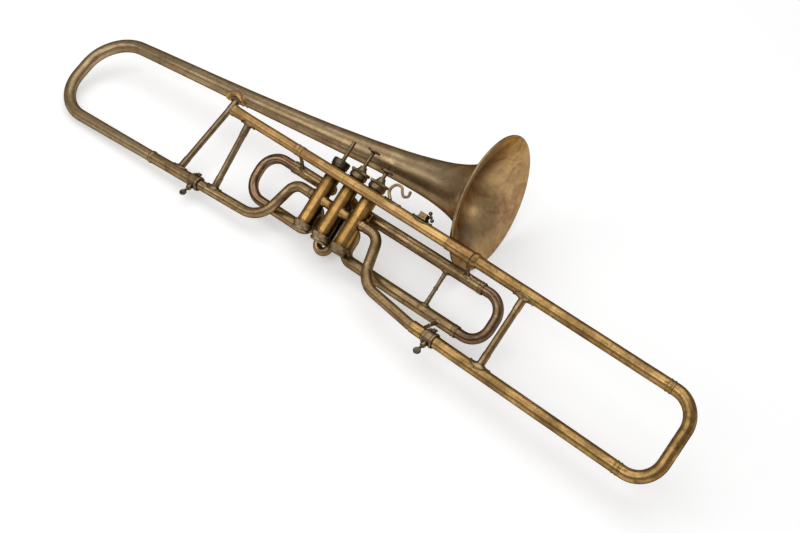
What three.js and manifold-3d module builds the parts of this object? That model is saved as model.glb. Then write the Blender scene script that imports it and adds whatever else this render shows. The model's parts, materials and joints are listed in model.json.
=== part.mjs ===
// A three-valve tenor trombone, in millimetres. The pieces are placed in the horn's own frame: X runs along the
// slide tubes towards the front bow, Z runs up the valve casings, and Y points from the leadpipe to the bell.
// The last section then leans the whole horn into the pose in which it rests on a table.
import * as THREE from "three";
import { mergeVertices } from "three/addons/utils/BufferGeometryUtils.js";
import Module from "manifold-3d";

const wasm = await Module();
wasm.setup();

// Sizes that several pieces share
const fitGap = 0.3; // between two pieces that touch or slide
const overrun = 4; // how far a cut runs past what it cuts
const boreRadius = 6.4;
const pipeRadius = 7.2; // outside of the bent pipes next to the valves
const slideWall = 0.6;
const innerSlideRadius = boreRadius + slideWall;
const sleeveWall = 0.7;
const sleeveBore = innerSlideRadius + fitGap;
const sleeveRadius = sleeveBore + sleeveWall;
const beadHeight = 1.3; // how far a turned ring stands out of its tube
const beadLength = 5;
const bendStep = THREE.MathUtils.degToRad(22.5);

// Where the horn rests on the table
const leanDegrees = 52.5; // the valves lean back over the bell by this much
const riseDegrees = 0.8; // the front bow is higher than the back bow by this much

// Valves
const valvePitch = 32.3;
const casingRadius = 10.7;
const casingWall = 0.8;
const casingTop = 16;
const casingBottom = -84;
const pistonLength = 68;
const pistonTop = 2;
const valveTravel = 15;
const thirdValveDown = 14; // the third valve stays down, as the photographed one does
const stemRadius = 2.7;
const stemTop = 49;
const stemCollarRadius = 5;
const buttonRadius = 8.7;
const buttonThickness = 3;
const capWall = 1.2;
const capPlate = 2;
const capTop = 20.5;
const capSkirtBottom = 9.4;
const capFlangeRadius = 13.6;
const capFlangeHeight = 4;
const capDomeRadius = 7.2;
const capDomeTopRadius = 5;
const capDomeHeight = 6.5;
const bottomCapRadius = 13;
const bottomCapHeight = 13;
const bottomCapBand = 5;
const bottomCapFoot = -88.5;
const knuckleRadius = 6.6;
const knuckleWall = 0.8;
const springWire = 0.8;
const springRadius = 7.4;
const springTurns = 4;
const throughPortHeight = -39;

// Leadpipe, which runs in front of the casings
const receiverEnd = -210;
const receiverRadius = 7.2;
const receiverWall = 0.9;
const leadpipeStart = -78;
const leadpipeEnd = 177;
const leadpipeEndRadius = 7.8;
const leadpipeFerruleStart = 168;
const leadpipeFerruleEnd = 206;
const leadpipeFerruleWall = 0.6;

// Front slide, which pulls out for tuning
const slideSpacing = 110;
const slideDroopDegrees = 0.9; // its bow hangs a little below the leadpipe's line
const slideStart = 208;
const innerSlideEnd = 340;
const frontBowReach = 537;
const frontBowBend = 35;
const frontBowStraight = 1; // from the end of its bend to the slide's tubes
const slideBraceX = 291;
const braceRadius = 4.6;
const braceSleeveRadius = 5.4;
const braceSleeveLength = 14;
const footRadius = 9;
const footThickness = 2.4;

// Lower pipes on both sides of the valves
const rightBendCorner = 72;
const rightBendRadius = 20;
const rightSweepCorner = 92;
const rightSweepRadius = 36;
const rightPipeZ = -100; // height of the right pipe where it turns forward
const rightPipeEnd = 196;
const lowerFerruleStart = 184;
const leftBendCorner = -75;
const leftBendRadius = 18;
const leftSweepCorner = -94.5;
const leftSweepRadius = 40;
const leftPipeEnd = -235;
const leftPipeZ = -112.7; // height of the lower left pipe at its end
const leftPipeSlope = 0.05; // it drops by this share of its run, away from the valves

// Bell section
const bellTubeStart = -205; // the left pipe runs on inside it
const bellTubeEnd = -300;
const backBowRadius = 7.9; // outside, where the lower tube takes it
const backBowWall = 0.8;
const backBowLowerCorner = -502;
const backBowLowerBend = 60;
const backBowUpperCorner = -521;
const backBowUpperBend = 60;
const bellTailX = -450;
const bellTailY = 68;
const bellTailZ = 7.5;
const bellRimX = 155;
const bellRimY = 75;
const bellRimZ = 73;
const bellSag = 3.3; // how far the old bell has bowed down between its ends
const bellRimRadius = 93;
const bellFlareStart = 11; // how fast the flare opens at the rim
const bellFlareShare = 0.56; // the power by which it narrows
const bellWall = 0.9;
const rimBeadRadius = 1.6;
const bellBraceFootX = -249;
const bellBraceTopX = -262;

// Valve slides, which lie behind the casings
const slideDepthGap = 10.8; // from the back of a casing to the axis of a slide leg
const elbowRadius = 9.6;
const dropElbowRadius = 14;
const firstSlideTop = -21;
const firstSlideSpacing = 64;
const firstSlideEnd = -105;
const firstSlideReach = -149;
const firstSlideBend = 28;
const thirdSlideTop = -25;
const thirdSlideSpacing = 63;
const thirdSlideEnd = 226;
const thirdSlideReach = 260;
const thirdSlideBend = 26;
const lowerPortHeight = -54;
const slideInsertion = 50;
const thirdSlideInsertion = 110;
const secondSlideSpacing = 19;
const secondSlideShift = -1.2; // from the middle valve's axis
const secondSlideTubeRadius = 6;
const secondSlideUpperPort = -20;
const secondSlideLowerPort = -50;
const secondSlideEnd = -86;
const secondSlideDrop = 1.5; // straight length of the second slide's bow under its legs
const secondSlideInsertion = 22;

// Braces and posts between the pipes
const leadpipeBraceTopX = -177;
const leadpipeBraceFootX = -181;
const postRadius = 2.4;
const firstPostX = -86;
const thirdPostX = 200;
const thirdBraceX = 169;
const thirdBraceRadius = 3;
const thirdStayX = 203;

// Clamps
const collarWall = 2;
const collarLength = 16;
const rightCollarX = 218;
const leftCollarX = -213;
const clampBossRadius = 4;
const clampBossLength = 5;
const clampScrewRadius = 1.9;
const clampScrewLength = 11;
const clampKnobRadius = 5;
const clampKnobThickness = 3.4;
const clampTiltDegrees = 35; // the thumb screws point down and forward by this much
const clampLugRadius = 3.2;
const clampLugLength = 3.4;

// Finger hook and lyre holder on the leadpipe
const hookX = 72;
const hookFlangeRadius = 11;
const hookWireRadius = 1.9;
const hookHeight = 20;
const hookLength = 26;
const lyreX = 121;
const lyreFlangeRadius = 13;
const lyreFlangeThickness = 1.4;
const lyreBoxWidth = 11;
const lyreBoxHeight = 7.2;
const lyreHoleWidth = 7;
const lyreScrewHeight = 4.1; // where its axis leaves the box, above the flange
const lyreScrewRadius = 1.4;
const lyreScrewLength = 4.4;
const lyreScrewTiltDegrees = 38; // it rises away from the box by this much
const lyreBarRadius = 1.3;
const lyreBarLength = 9.3;
const lyreBarTurnDegrees = 23; // from upright, towards the front
const lyreBallRadius = 2.6;

// Sizes that follow from those above
const leadpipeRadiusAtValves = (receiverRadius + leadpipeEndRadius) / 2;
const valveDepth = leadpipeRadiusAtValves + fitGap + casingRadius;
const casingBore = casingRadius - casingWall;
const pistonRadius = casingBore - fitGap;
const capBore = casingRadius + fitGap;
const capRadius = capBore + capWall;
const valveSlideDepth = valveDepth + casingRadius + slideDepthGap;
const bellTubeBore = pipeRadius + fitGap;
const bellTubeRadius = bellTubeBore + sleeveWall;
const slideEnd = frontBowReach - frontBowBend - frontBowStraight;
const slideDroop = THREE.MathUtils.degToRad(slideDroopDegrees);
const clampTilt = THREE.MathUtils.degToRad(clampTiltDegrees);

// Colours of the aged metals
const colours = {
  golden: { color: 0xb08442, roughness: 0.38, metalness: 1 },
  brown: { color: 0x7d6340, roughness: 0.5, metalness: 1 },
  copper: { color: 0x6b4a38, roughness: 0.5, metalness: 1 },
  dark: { color: 0x5a5142, roughness: 0.55, metalness: 1 },
  steel: { color: 0x8a8c8e, roughness: 0.4, metalness: 1 },
};

const horn = new THREE.Group();

function at(x, y, z) {
  return new THREE.Vector3(x, y, z);
}

// A place on the front slide: x along its upper tube, z above that tube's axis
function slideAt(x, z = 0) {
  const along = x - leadpipeEnd;
  const right = along * Math.cos(slideDroop) + z * Math.sin(slideDroop);
  return at(leadpipeEnd + right, 0, z * Math.cos(slideDroop) - along * Math.sin(slideDroop));
}

function addPiece(parent, name, geometry, colour) {
  const mesh = new THREE.Mesh(geometry, new THREE.MeshStandardMaterial(colours[colour]));
  mesh.name = name;
  parent.add(mesh);
  return mesh;
}

// Booleans
function toSolid(geometry) {
  const bare = new THREE.BufferGeometry();
  const flat = geometry.index ? geometry.toNonIndexed() : geometry;
  bare.setAttribute("position", flat.getAttribute("position").clone());
  const merged = mergeVertices(bare, 1e-4);
  const vertProperties = Float32Array.from(merged.getAttribute("position").array);
  const triVerts = Uint32Array.from(merged.index.array);
  const solid = new wasm.Manifold(new wasm.Mesh({ numProp: 3, vertProperties, triVerts }));
  if (solid.volume() >= 0) return solid;
  for (let i = 0; i < triVerts.length; i += 3) {
    [triVerts[i + 1], triVerts[i + 2]] = [triVerts[i + 2], triVerts[i + 1]];
  }
  return new wasm.Manifold(new wasm.Mesh({ numProp: 3, vertProperties, triVerts }));
}

function toGeometry(solid) {
  const mesh = solid.getMesh();
  const position = new Float32Array(mesh.numVert * 3);
  for (let i = 0; i < mesh.numVert; i++) {
    position.set(mesh.vertProperties.subarray(i * mesh.numProp, i * mesh.numProp + 3), i * 3);
  }
  const geometry = new THREE.BufferGeometry();
  geometry.setAttribute("position", new THREE.BufferAttribute(position, 3));
  geometry.setIndex(new THREE.BufferAttribute(Uint32Array.from(mesh.triVerts), 1));
  geometry.computeVertexNormals();
  return geometry;
}

// Joins the first list of shapes, and cuts the second list out of them.
function shaped(bodies, cutters = []) {
  let solid = toSolid(bodies[0]);
  for (const body of bodies.slice(1)) solid = solid.add(toSolid(body));
  for (const cutter of cutters) solid = solid.subtract(toSolid(cutter));
  return toGeometry(solid);
}

// The part of a shape that lies inside another
function within(body, limit) {
  return toGeometry(toSolid(body).intersect(toSolid(limit)));
}

// A turned piece from point a towards point b. Each profile point is [radius, distance from a], and the
// profile closes on itself.
function turned(a, b, profile, sides) {
  const points = profile.map(([radius, distance]) => new THREE.Vector2(radius, distance));
  points.push(points[0].clone());
  const geometry = new THREE.LatheGeometry(points, sides);
  const direction = b.clone().sub(a).normalize();
  geometry.applyQuaternion(new THREE.Quaternion().setFromUnitVectors(at(0, 1, 0), direction));
  geometry.translate(a.x, a.y, a.z);
  return toGeometry(toSolid(geometry));
}

function rod(a, b, radius, sides = 12) {
  const length = a.distanceTo(b);
  return turned(a, b, [[0, 0], [radius, 0], [radius, length], [0, length]], sides);
}

function straightTube(a, b, outer, inner, sides = 16) {
  const length = a.distanceTo(b);
  return turned(a, b, [[inner, 0], [outer, 0], [outer, length], [inner, length]], sides);
}

// What a pipe from a to b takes out of a piece that sits on it
function pipeCut(a, b, radius, sides = 24) {
  const direction = b.clone().sub(a).normalize().multiplyScalar(overrun);
  return rod(a.clone().sub(direction), b.clone().add(direction), radius + fitGap, sides);
}

// A run of straight lengths and round bends. Its rings of points lie only where the run turns.
class PipeRun extends THREE.Curve {
  constructor(corners, bendRadii) {
    super();
    this.points = [corners[0].clone()];
    this.tangents = [corners[1].clone().sub(corners[0]).normalize()];
    for (let i = 1; i < corners.length - 1; i++) {
      const before = corners[i].clone().sub(corners[i - 1]).normalize();
      const after = corners[i + 1].clone().sub(corners[i]).normalize();
      const turn = before.angleTo(after);
      const radius = bendRadii[i - 1];
      const inward = after.clone().addScaledVector(before, -Math.cos(turn)).normalize();
      const start = corners[i].clone().addScaledVector(before, -radius * Math.tan(turn / 2));
      const steps = Math.max(2, Math.ceil(turn / bendStep));
      for (let k = 0; k <= steps; k++) {
        const angle = (turn * k) / steps;
        const point = start.clone();
        point.addScaledVector(inward, radius * (1 - Math.cos(angle)));
        point.addScaledVector(before, radius * Math.sin(angle));
        const tangent = before.clone().multiplyScalar(Math.cos(angle));
        tangent.addScaledVector(inward, Math.sin(angle));
        this.points.push(point);
        this.tangents.push(tangent);
      }
    }
    this.points.push(corners[corners.length - 1].clone());
    this.tangents.push(this.tangents[this.tangents.length - 1].clone());
  }

  get steps() {
    return this.points.length - 1;
  }

  getPointAt(share, target = new THREE.Vector3()) {
    return target.copy(this.points[Math.round(share * this.steps)]);
  }

  getTangentAt(share, target = new THREE.Vector3()) {
    return target.copy(this.tangents[Math.round(share * this.steps)]);
  }
}

function ring(outer, inner) {
  const shape = new THREE.Shape();
  shape.absarc(0, 0, outer, 0, Math.PI * 2);
  if (inner > 0) {
    const hole = new THREE.Path();
    hole.absarc(0, 0, inner, 0, Math.PI * 2, true);
    shape.holes.push(hole);
  }
  return shape;
}

function bentTube(corners, bendRadii, outer, inner, sides = 12) {
  const run = new PipeRun(corners, bendRadii);
  const options = { steps: run.steps, extrudePath: run, curveSegments: sides / 2, bevelEnabled: false };
  return toGeometry(toSolid(new THREE.ExtrudeGeometry(ring(outer, inner), options)));
}

// A pipe along a run whose outside narrows steadily from its start to its end
function taperedTube(pipe, startRadius, endRadius, wall, sides = 12) {
  const { normals, binormals } = pipe.computeFrenetFrames(pipe.steps);
  const lengths = [0];
  for (let i = 1; i <= pipe.steps; i++) {
    lengths.push(lengths[i - 1] + pipe.points[i].distanceTo(pipe.points[i - 1]));
  }
  const rings = [...lengths.keys()].map((i) => [i, 0]);
  rings.push(...rings.map(([i]) => [i, wall]).reverse());
  const positions = [];
  for (const [i, inward] of rings) {
    const radius = startRadius + ((endRadius - startRadius) * lengths[i]) / lengths[pipe.steps] - inward;
    for (let k = 0; k < sides; k++) {
      const angle = (k / sides) * Math.PI * 2;
      const point = pipe.points[i].clone().addScaledVector(normals[i], radius * Math.cos(angle));
      positions.push(...point.addScaledVector(binormals[i], radius * Math.sin(angle)).toArray());
    }
  }
  const index = [];
  for (let i = 0; i < rings.length; i++) {
    const next = (i + 1) % rings.length;
    for (let k = 0; k < sides; k++) {
      const beside = (k + 1) % sides;
      const corners = [i * sides + k, i * sides + beside, next * sides + beside, next * sides + k];
      index.push(corners[0], corners[1], corners[2], corners[0], corners[2], corners[3]);
    }
  }
  const geometry = new THREE.BufferGeometry();
  geometry.setAttribute("position", new THREE.Float32BufferAttribute(positions, 3));
  geometry.setIndex(index);
  return toGeometry(toSolid(geometry));
}

// Height of the lower left pipe's axis at x
function leftPipeHeight(x) {
  return leftPipeZ + (x - leftPipeEnd) * leftPipeSlope;
}

function leftPipeAxis(x) {
  return at(x, valveDepth, leftPipeHeight(x));
}

// Bell axis, from its tail to its rim
const bellTail = at(bellTailX, bellTailY, bellTailZ);
const bellRim = at(bellRimX, bellRimY, bellRimZ);
const bellLength = bellTail.distanceTo(bellRim);
const bellDirection = bellRim.clone().sub(bellTail).normalize();

function bellRadius(fromRim) {
  return bellRimRadius * (bellFlareStart / (fromRim + bellFlareStart)) ** bellFlareShare;
}

// How far the axis hangs below the straight line between the bell's ends
function bellDrop(share) {
  return bellSag * (4 * Math.max(0, share * (1 - share))) ** (3 / 2);
}

function bellAxis(x) {
  const share = (x - bellTailX) / (bellRimX - bellTailX);
  const point = bellTail.clone().lerp(bellRim, share);
  point.z -= bellDrop(share);
  return point;
}

// Bell: a spun flare with a rolled rim, bowed down a little
const bellStationShares = [1, 0.85, 0.7, 0.55, 0.4, 0.28, 0.17, 0.1, 0.06, 0.035, 0.018, 0.007, 0];
const bellProfile = [];
for (const share of bellStationShares) {
  bellProfile.push([bellRadius(share * bellLength), (1 - share) * bellLength]);
}
bellProfile.push([bellRimRadius + rimBeadRadius, bellLength + rimBeadRadius / 2]);
bellProfile.push([bellRimRadius, bellLength + rimBeadRadius]);
for (const share of bellStationShares.toReversed()) {
  bellProfile.push([bellRadius(share * bellLength) - bellWall, (1 - share) * bellLength + bellWall * share]);
}
bellProfile[bellProfile.length - 1][1] = 0;
const bell = turned(bellTail, bellRim, bellProfile, 32);
const bellPoints = bell.getAttribute("position");
for (let i = 0; i < bellPoints.count; i++) {
  const fromTail = at(bellPoints.getX(i), bellPoints.getY(i), bellPoints.getZ(i)).sub(bellTail);
  bellPoints.setZ(i, bellPoints.getZ(i) - bellDrop(fromTail.dot(bellDirection) / bellLength));
}
bell.computeVertexNormals();
addPiece(horn, "bell", bell, "brown");

// Back bow, from the bell's tail round to the lower left tube. It carries on the bell's taper.
const backBowStart = bellTail.clone().addScaledVector(bellDirection, -fitGap);
const upperCorner = bellAxis(backBowUpperCorner);
const lowerCorner = leftPipeAxis(backBowLowerCorner);
const backBowEnd = leftPipeAxis(bellTubeEnd - fitGap);
const backBowRun = new PipeRun(
  [backBowStart, upperCorner, lowerCorner, backBowEnd], [backBowUpperBend, backBowLowerBend]);
const backBow = taperedTube(backBowRun, bellRadius(bellLength), backBowRadius, backBowWall);
addPiece(horn, "back_bow", backBow, "brown");

// Lower tube of the bell section, with a turned ring at each end
const bellTubeA = leftPipeAxis(bellTubeEnd);
const bellTubeB = leftPipeAxis(bellTubeStart);
const bellTubeLength = bellTubeA.distanceTo(bellTubeB);
const bellTubeProfile = [
  [bellTubeBore, 0],
  [bellTubeRadius + beadHeight, 0],
  [bellTubeRadius + beadHeight, beadLength],
  [bellTubeRadius, beadLength],
  [bellTubeRadius, bellTubeLength],
  [bellTubeBore, bellTubeLength],
];
addPiece(horn, "lower_bell_tube", turned(bellTubeA, bellTubeB, bellTubeProfile, 16), "golden");

// A brace: a rod with thicker ends and a flared foot, from the axis of one pipe to the axis of another,
// cut back to the outside of both
function brace(a, b, seatA, seatB, radius, sleeveR, sides = 12) {
  const length = a.distanceTo(b);
  const footA = seatA + footThickness;
  const footB = length - seatB - footThickness;
  const profile = [
    [0, 0],
    [footRadius, 0],
    [footRadius, footA],
    [sleeveR, footA + fitGap],
    [sleeveR, footA + braceSleeveLength],
    [radius, footA + braceSleeveLength + fitGap],
    [radius, footB - braceSleeveLength - fitGap],
    [sleeveR, footB - braceSleeveLength],
    [sleeveR, footB - fitGap],
    [footRadius, footB],
    [footRadius, length],
    [0, length],
  ];
  return turned(a, b, profile, sides);
}

// Bell brace, from the lower left tube up to the bell's tail
const bellBraceFoot = leftPipeAxis(bellBraceFootX);
const bellBraceTop = bellAxis(bellBraceTopX);
const bellRadiusAtBrace = bellRadius(bellBraceTop.distanceTo(bellRim));
const bellCut = rod(bellAxis(bellBraceTopX - bellTubeRadius * 3), bellAxis(bellBraceTopX + bellTubeRadius * 3),
  bellRadius(bellAxis(bellBraceTopX + bellTubeRadius).distanceTo(bellRim)) + fitGap, 24);
const bellBrace = shaped(
  [brace(bellBraceFoot, bellBraceTop, bellTubeRadius, bellRadiusAtBrace, braceRadius, braceSleeveRadius)],
  [pipeCut(bellTubeA, bellTubeB, bellTubeRadius), bellCut],
);
addPiece(horn, "bell_brace", bellBrace, "brown");

// Leadpipe line: receiver, leadpipe and ferrule
const receiverA = at(receiverEnd, 0, 0);
const receiverB = at(leadpipeStart - fitGap, 0, 0);
const receiverLength = leadpipeStart - fitGap - receiverEnd;
const receiverProfile = [
  [receiverRadius - receiverWall, 0],
  [receiverRadius + beadHeight, 0],
  [receiverRadius + beadHeight, beadLength],
  [receiverRadius, beadLength],
  [receiverRadius, receiverLength - beadLength],
  [receiverRadius + beadHeight / 2, receiverLength - beadLength],
  [receiverRadius + beadHeight / 2, receiverLength],
  [receiverRadius - receiverWall, receiverLength],
];
addPiece(horn, "mouthpiece_receiver", turned(receiverA, receiverB, receiverProfile, 16), "golden");

const leadpipeLength = leadpipeEnd - leadpipeStart;
const leadpipeProfile = [
  [boreRadius, 0],
  [receiverRadius, 0],
  [leadpipeEndRadius, leadpipeLength],
  [boreRadius, leadpipeLength],
];
addPiece(horn, "leadpipe", turned(at(leadpipeStart, 0, 0), at(leadpipeEnd, 0, 0), leadpipeProfile, 16), "golden");

const upperInnerTube = straightTube(
  slideAt(leadpipeEnd + fitGap), slideAt(innerSlideEnd), innerSlideRadius, boreRadius);
addPiece(horn, "upper_inner_tube", upperInnerTube, "golden");

const ferruleStep = leadpipeEnd - leadpipeFerruleStart + fitGap;
const ferruleLength = leadpipeFerruleEnd - leadpipeFerruleStart;
const ferruleRadius = leadpipeEndRadius + fitGap + leadpipeFerruleWall;
const ferruleProfile = [
  [leadpipeEndRadius + fitGap, 0],
  [ferruleRadius, 0],
  [ferruleRadius, ferruleLength],
  [innerSlideRadius + fitGap, ferruleLength],
  [innerSlideRadius + fitGap, ferruleStep],
  [leadpipeEndRadius + fitGap, ferruleStep],
];
const ferruleA = slideAt(leadpipeFerruleStart);
const ferruleB = slideAt(leadpipeFerruleEnd);
addPiece(horn, "leadpipe_ferrule", turned(ferruleA, ferruleB, ferruleProfile, 16), "golden");

// Valve casings, one group each, with the piston, stem, caps and spring
const valveXs = [-valvePitch, 0, valvePitch];
const springRest = pistonTop - pistonLength - (bottomCapFoot + capPlate);
const sidePorts = [throughPortHeight];
const rearPortHeights = [
  [firstSlideTop, lowerPortHeight],
  [secondSlideUpperPort, secondSlideLowerPort],
  [thirdSlideTop, lowerPortHeight],
];

function casing(rearPorts) {
  const tube = straightTube(at(0, 0, casingBottom), at(0, 0, casingTop), casingRadius, casingBore, 24);
  const reach = casingRadius + overrun;
  const cuts = sidePorts.map((z) => rod(at(-reach, 0, z), at(reach, 0, z), boreRadius - knuckleWall, 10));
  for (const z of rearPorts) cuts.push(rod(at(0, 0, z), at(0, reach, z), boreRadius - knuckleWall, 10));
  return shaped([tube], cuts);
}

function piston(rearPorts) {
  const bottom = pistonTop - pistonLength;
  const body = rod(at(0, 0, bottom), at(0, 0, pistonTop), pistonRadius, 20);
  const reach = pistonRadius + overrun;
  const through = rod(at(-reach, 0, throughPortHeight), at(reach, 0, throughPortHeight), boreRadius - knuckleWall, 10);
  const cuts = rearPorts.map((z) => rod(at(0, 0, z), at(0, reach, z), boreRadius - knuckleWall, 10));
  return shaped([body], [through, ...cuts]);
}

function stem() {
  const underCap = capTop - capPlate - fitGap;
  const profile = [
    [0, pistonTop + fitGap],
    [stemCollarRadius, pistonTop + fitGap],
    [stemCollarRadius, underCap],
    [stemRadius, underCap],
    [stemRadius, stemTop],
    [0, stemTop],
  ];
  return turned(at(0, 0, 0), at(0, 0, 1), profile, 12);
}

function button() {
  const profile = [
    [0, stemTop + fitGap],
    [buttonRadius - buttonThickness / 2, stemTop + fitGap],
    [buttonRadius, stemTop + fitGap + buttonThickness / 2],
    [buttonRadius, stemTop + fitGap + buttonThickness],
    [0, stemTop + fitGap + buttonThickness],
  ];
  return turned(at(0, 0, 0), at(0, 0, 1), profile, 20);
}

function plainTopCap() {
  const profile = [
    [stemRadius + fitGap, capTop - capPlate],
    [stemRadius + fitGap, capTop],
    [capRadius - capWall / 2, capTop],
    [capRadius, capTop - capWall / 2],
    [capRadius, capSkirtBottom],
    [capBore, capSkirtBottom],
    [capBore, capTop - capPlate],
  ];
  return turned(at(0, 0, 0), at(0, 0, 1), profile, 20);
}

function flangedTopCap() {
  const profile = [
    [stemRadius + fitGap, capTop - capPlate],
    [stemRadius + fitGap, capTop + capDomeHeight],
    [capDomeTopRadius, capTop + capDomeHeight],
    [capDomeRadius, capTop],
    [capFlangeRadius, capTop],
    [capFlangeRadius, capTop - capFlangeHeight],
    [capRadius, capTop - capFlangeHeight - capWall],
    [capRadius, capSkirtBottom],
    [capBore, capSkirtBottom],
    [capBore, capTop - capPlate],
  ];
  return turned(at(0, 0, 0), at(0, 0, 1), profile, 20);
}

function bottomCap() {
  const top = bottomCapFoot + bottomCapHeight;
  const profile = [
    [0, bottomCapFoot],
    [capRadius - capWall, bottomCapFoot],
    [capRadius, bottomCapFoot + capPlate],
    [capRadius, top - bottomCapBand - capWall],
    [bottomCapRadius, top - bottomCapBand],
    [bottomCapRadius, top],
    [capBore, top],
    [capBore, bottomCapFoot + capPlate],
    [0, bottomCapFoot + capPlate],
  ];
  return turned(at(0, 0, 0), at(0, 0, 1), profile, 20);
}

// A helix of round wire between the bottom cap and the piston
class Helix extends THREE.Curve {
  constructor(radius, low, high, turns) {
    super();
    Object.assign(this, { radius, low, high, turns });
  }

  getPoint(share, target = new THREE.Vector3()) {
    const angle = share * this.turns * Math.PI * 2;
    const height = this.low + (this.high - this.low) * share;
    return target.set(this.radius * Math.cos(angle), this.radius * Math.sin(angle), height);
  }
}

function spring(height) {
  const low = bottomCapFoot + capPlate + fitGap + springWire / 2;
  const high = bottomCapFoot + capPlate + height - fitGap - springWire / 2;
  const path = new Helix(springRadius, low, high, springTurns);
  const options = { steps: springTurns * 9, extrudePath: path, curveSegments: 3, bevelEnabled: false };
  return toGeometry(toSolid(new THREE.ExtrudeGeometry(ring(springWire / 2, 0), options)));
}

valveXs.forEach((x, i) => {
  const number = i + 1;
  const down = number === 3 ? thirdValveDown : 0;
  const valve = new THREE.Group();
  valve.position.set(x, valveDepth, 0);
  horn.add(valve);
  addPiece(valve, `casing_${number}`, casing(rearPortHeights[i]), "golden");
  addPiece(valve, `top_cap_${number}`, number === 1 ? plainTopCap() : flangedTopCap(), "dark");
  addPiece(valve, `bottom_cap_${number}`, bottomCap(), "dark");
  addPiece(valve, `valve_spring_${number}`, spring(springRest - down), "steel");
  const moving = new THREE.Group();
  moving.position.set(0, 0, -down);
  valve.add(moving);
  addPiece(moving, `piston_${number}`, piston(rearPortHeights[i]), "steel");
  addPiece(moving, `stem_${number}`, stem(), "dark");
  if (number > 1) addPiece(moving, `finger_button_${number}`, button(), "dark");
});

function casingCut(x) {
  return pipeCut(at(x, valveDepth, casingBottom), at(x, valveDepth, casingTop), casingRadius, 48);
}

// Knuckles between neighbouring casings
[0, 1].forEach((i) => {
  const a = at(valveXs[i], valveDepth, throughPortHeight);
  const b = at(valveXs[i + 1], valveDepth, throughPortHeight);
  const tube = straightTube(a, b, knuckleRadius, knuckleRadius - knuckleWall, 14);
  const knuckle = shaped([tube], [casingCut(valveXs[i]), casingCut(valveXs[i + 1])]);
  addPiece(horn, `knuckle_${i + 1}_${i + 2}`, knuckle, "golden");
});

// Left pipe, from the first valve down to the lower left tube
const leftPipeRun = [
  at(-valvePitch, valveDepth, throughPortHeight),
  at(leftBendCorner, valveDepth, throughPortHeight),
  leftPipeAxis(leftSweepCorner),
  leftPipeAxis(leftPipeEnd),
];
const leftPipe = bentTube(leftPipeRun, [leftBendRadius, leftSweepRadius], pipeRadius, boreRadius);
addPiece(horn, "left_s_bend", shaped([leftPipe], [casingCut(-valvePitch)]), "golden");

// Right pipe, from the third valve down and forward to the front slide's lower tube
const rightPipeRun = [
  at(valvePitch, valveDepth, throughPortHeight),
  at(rightBendCorner, valveDepth, throughPortHeight),
  at(rightSweepCorner, valveDepth / 2, rightPipeZ),
  slideAt(lowerFerruleStart, -slideSpacing),
  slideAt(rightPipeEnd, -slideSpacing),
];
const rightPipeBends = [rightBendRadius, rightSweepRadius, rightSweepRadius];
const rightPipe = bentTube(rightPipeRun, rightPipeBends, pipeRadius, boreRadius);
addPiece(horn, "right_s_bend", shaped([rightPipe], [casingCut(valvePitch)]), "golden");

const lowerInnerTube = straightTube(
  slideAt(rightPipeEnd + fitGap, -slideSpacing),
  slideAt(innerSlideEnd, -slideSpacing),
  innerSlideRadius,
  boreRadius,
);
addPiece(horn, "lower_inner_tube", lowerInnerTube, "golden");

const lowerFerrule = straightTube(
  slideAt(lowerFerruleStart + beadLength, -slideSpacing),
  slideAt(leadpipeFerruleEnd, -slideSpacing),
  pipeRadius + fitGap + leadpipeFerruleWall,
  pipeRadius + fitGap,
);
addPiece(horn, "lower_slide_ferrule", lowerFerrule, "golden");

// Outer legs of the first and third slides: each starts at the back of its casing
function upperLeg(casingX, z, endX) {
  const corners = [at(casingX, valveDepth, z), at(casingX, valveSlideDepth, z), at(endX, valveSlideDepth, z)];
  return shaped([bentTube(corners, [elbowRadius], sleeveRadius, sleeveBore)], [casingCut(casingX)]);
}

function lowerLeg(casingX, portZ, z, endX) {
  const corners = [
    at(casingX, valveDepth, portZ),
    at(casingX, valveSlideDepth, portZ),
    at(casingX, valveSlideDepth, z),
    at(endX, valveSlideDepth, z),
  ];
  const bends = [elbowRadius, dropElbowRadius];
  return shaped([bentTube(corners, bends, sleeveRadius, sleeveBore)], [casingCut(casingX)]);
}

// The sliding part of a valve slide: a bow with two inner legs
function slideBow(innerX, reachX, topZ, spacing, bend) {
  const corners = [
    at(innerX, valveSlideDepth, topZ),
    at(reachX, valveSlideDepth, topZ),
    at(reachX, valveSlideDepth, topZ - spacing),
    at(innerX, valveSlideDepth, topZ - spacing),
  ];
  return bentTube(corners, [bend, bend], innerSlideRadius, boreRadius);
}

const firstSlideBottom = firstSlideTop - firstSlideSpacing;
addPiece(horn, "first_slide_upper_leg", upperLeg(-valvePitch, firstSlideTop, firstSlideEnd), "brown");
const firstLowerLeg = lowerLeg(-valvePitch, lowerPortHeight, firstSlideBottom, firstSlideEnd);
addPiece(horn, "first_slide_lower_leg", firstLowerLeg, "brown");
const firstBow = slideBow(
  firstSlideEnd + slideInsertion, firstSlideReach, firstSlideTop, firstSlideSpacing, firstSlideBend);
addPiece(horn, "first_slide_bow", firstBow, "copper");

const thirdSlideBottom = thirdSlideTop - thirdSlideSpacing;
addPiece(horn, "third_slide_upper_leg", upperLeg(valvePitch, thirdSlideTop, thirdSlideEnd), "brown");
const thirdLowerLeg = lowerLeg(valvePitch, lowerPortHeight, thirdSlideBottom, thirdSlideEnd);
addPiece(horn, "third_slide_lower_leg", thirdLowerLeg, "brown");
const thirdBow = slideBow(
  thirdSlideEnd - thirdSlideInsertion, thirdSlideReach, thirdSlideTop, thirdSlideSpacing, thirdSlideBend);
addPiece(horn, "third_slide_bow", thirdBow, "copper");

// Second slide: two legs that hang behind the middle casing, and a small bow under them
const secondSleeveBore = secondSlideTubeRadius + fitGap;
const secondSleeveRadius = secondSleeveBore + sleeveWall;

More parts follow.
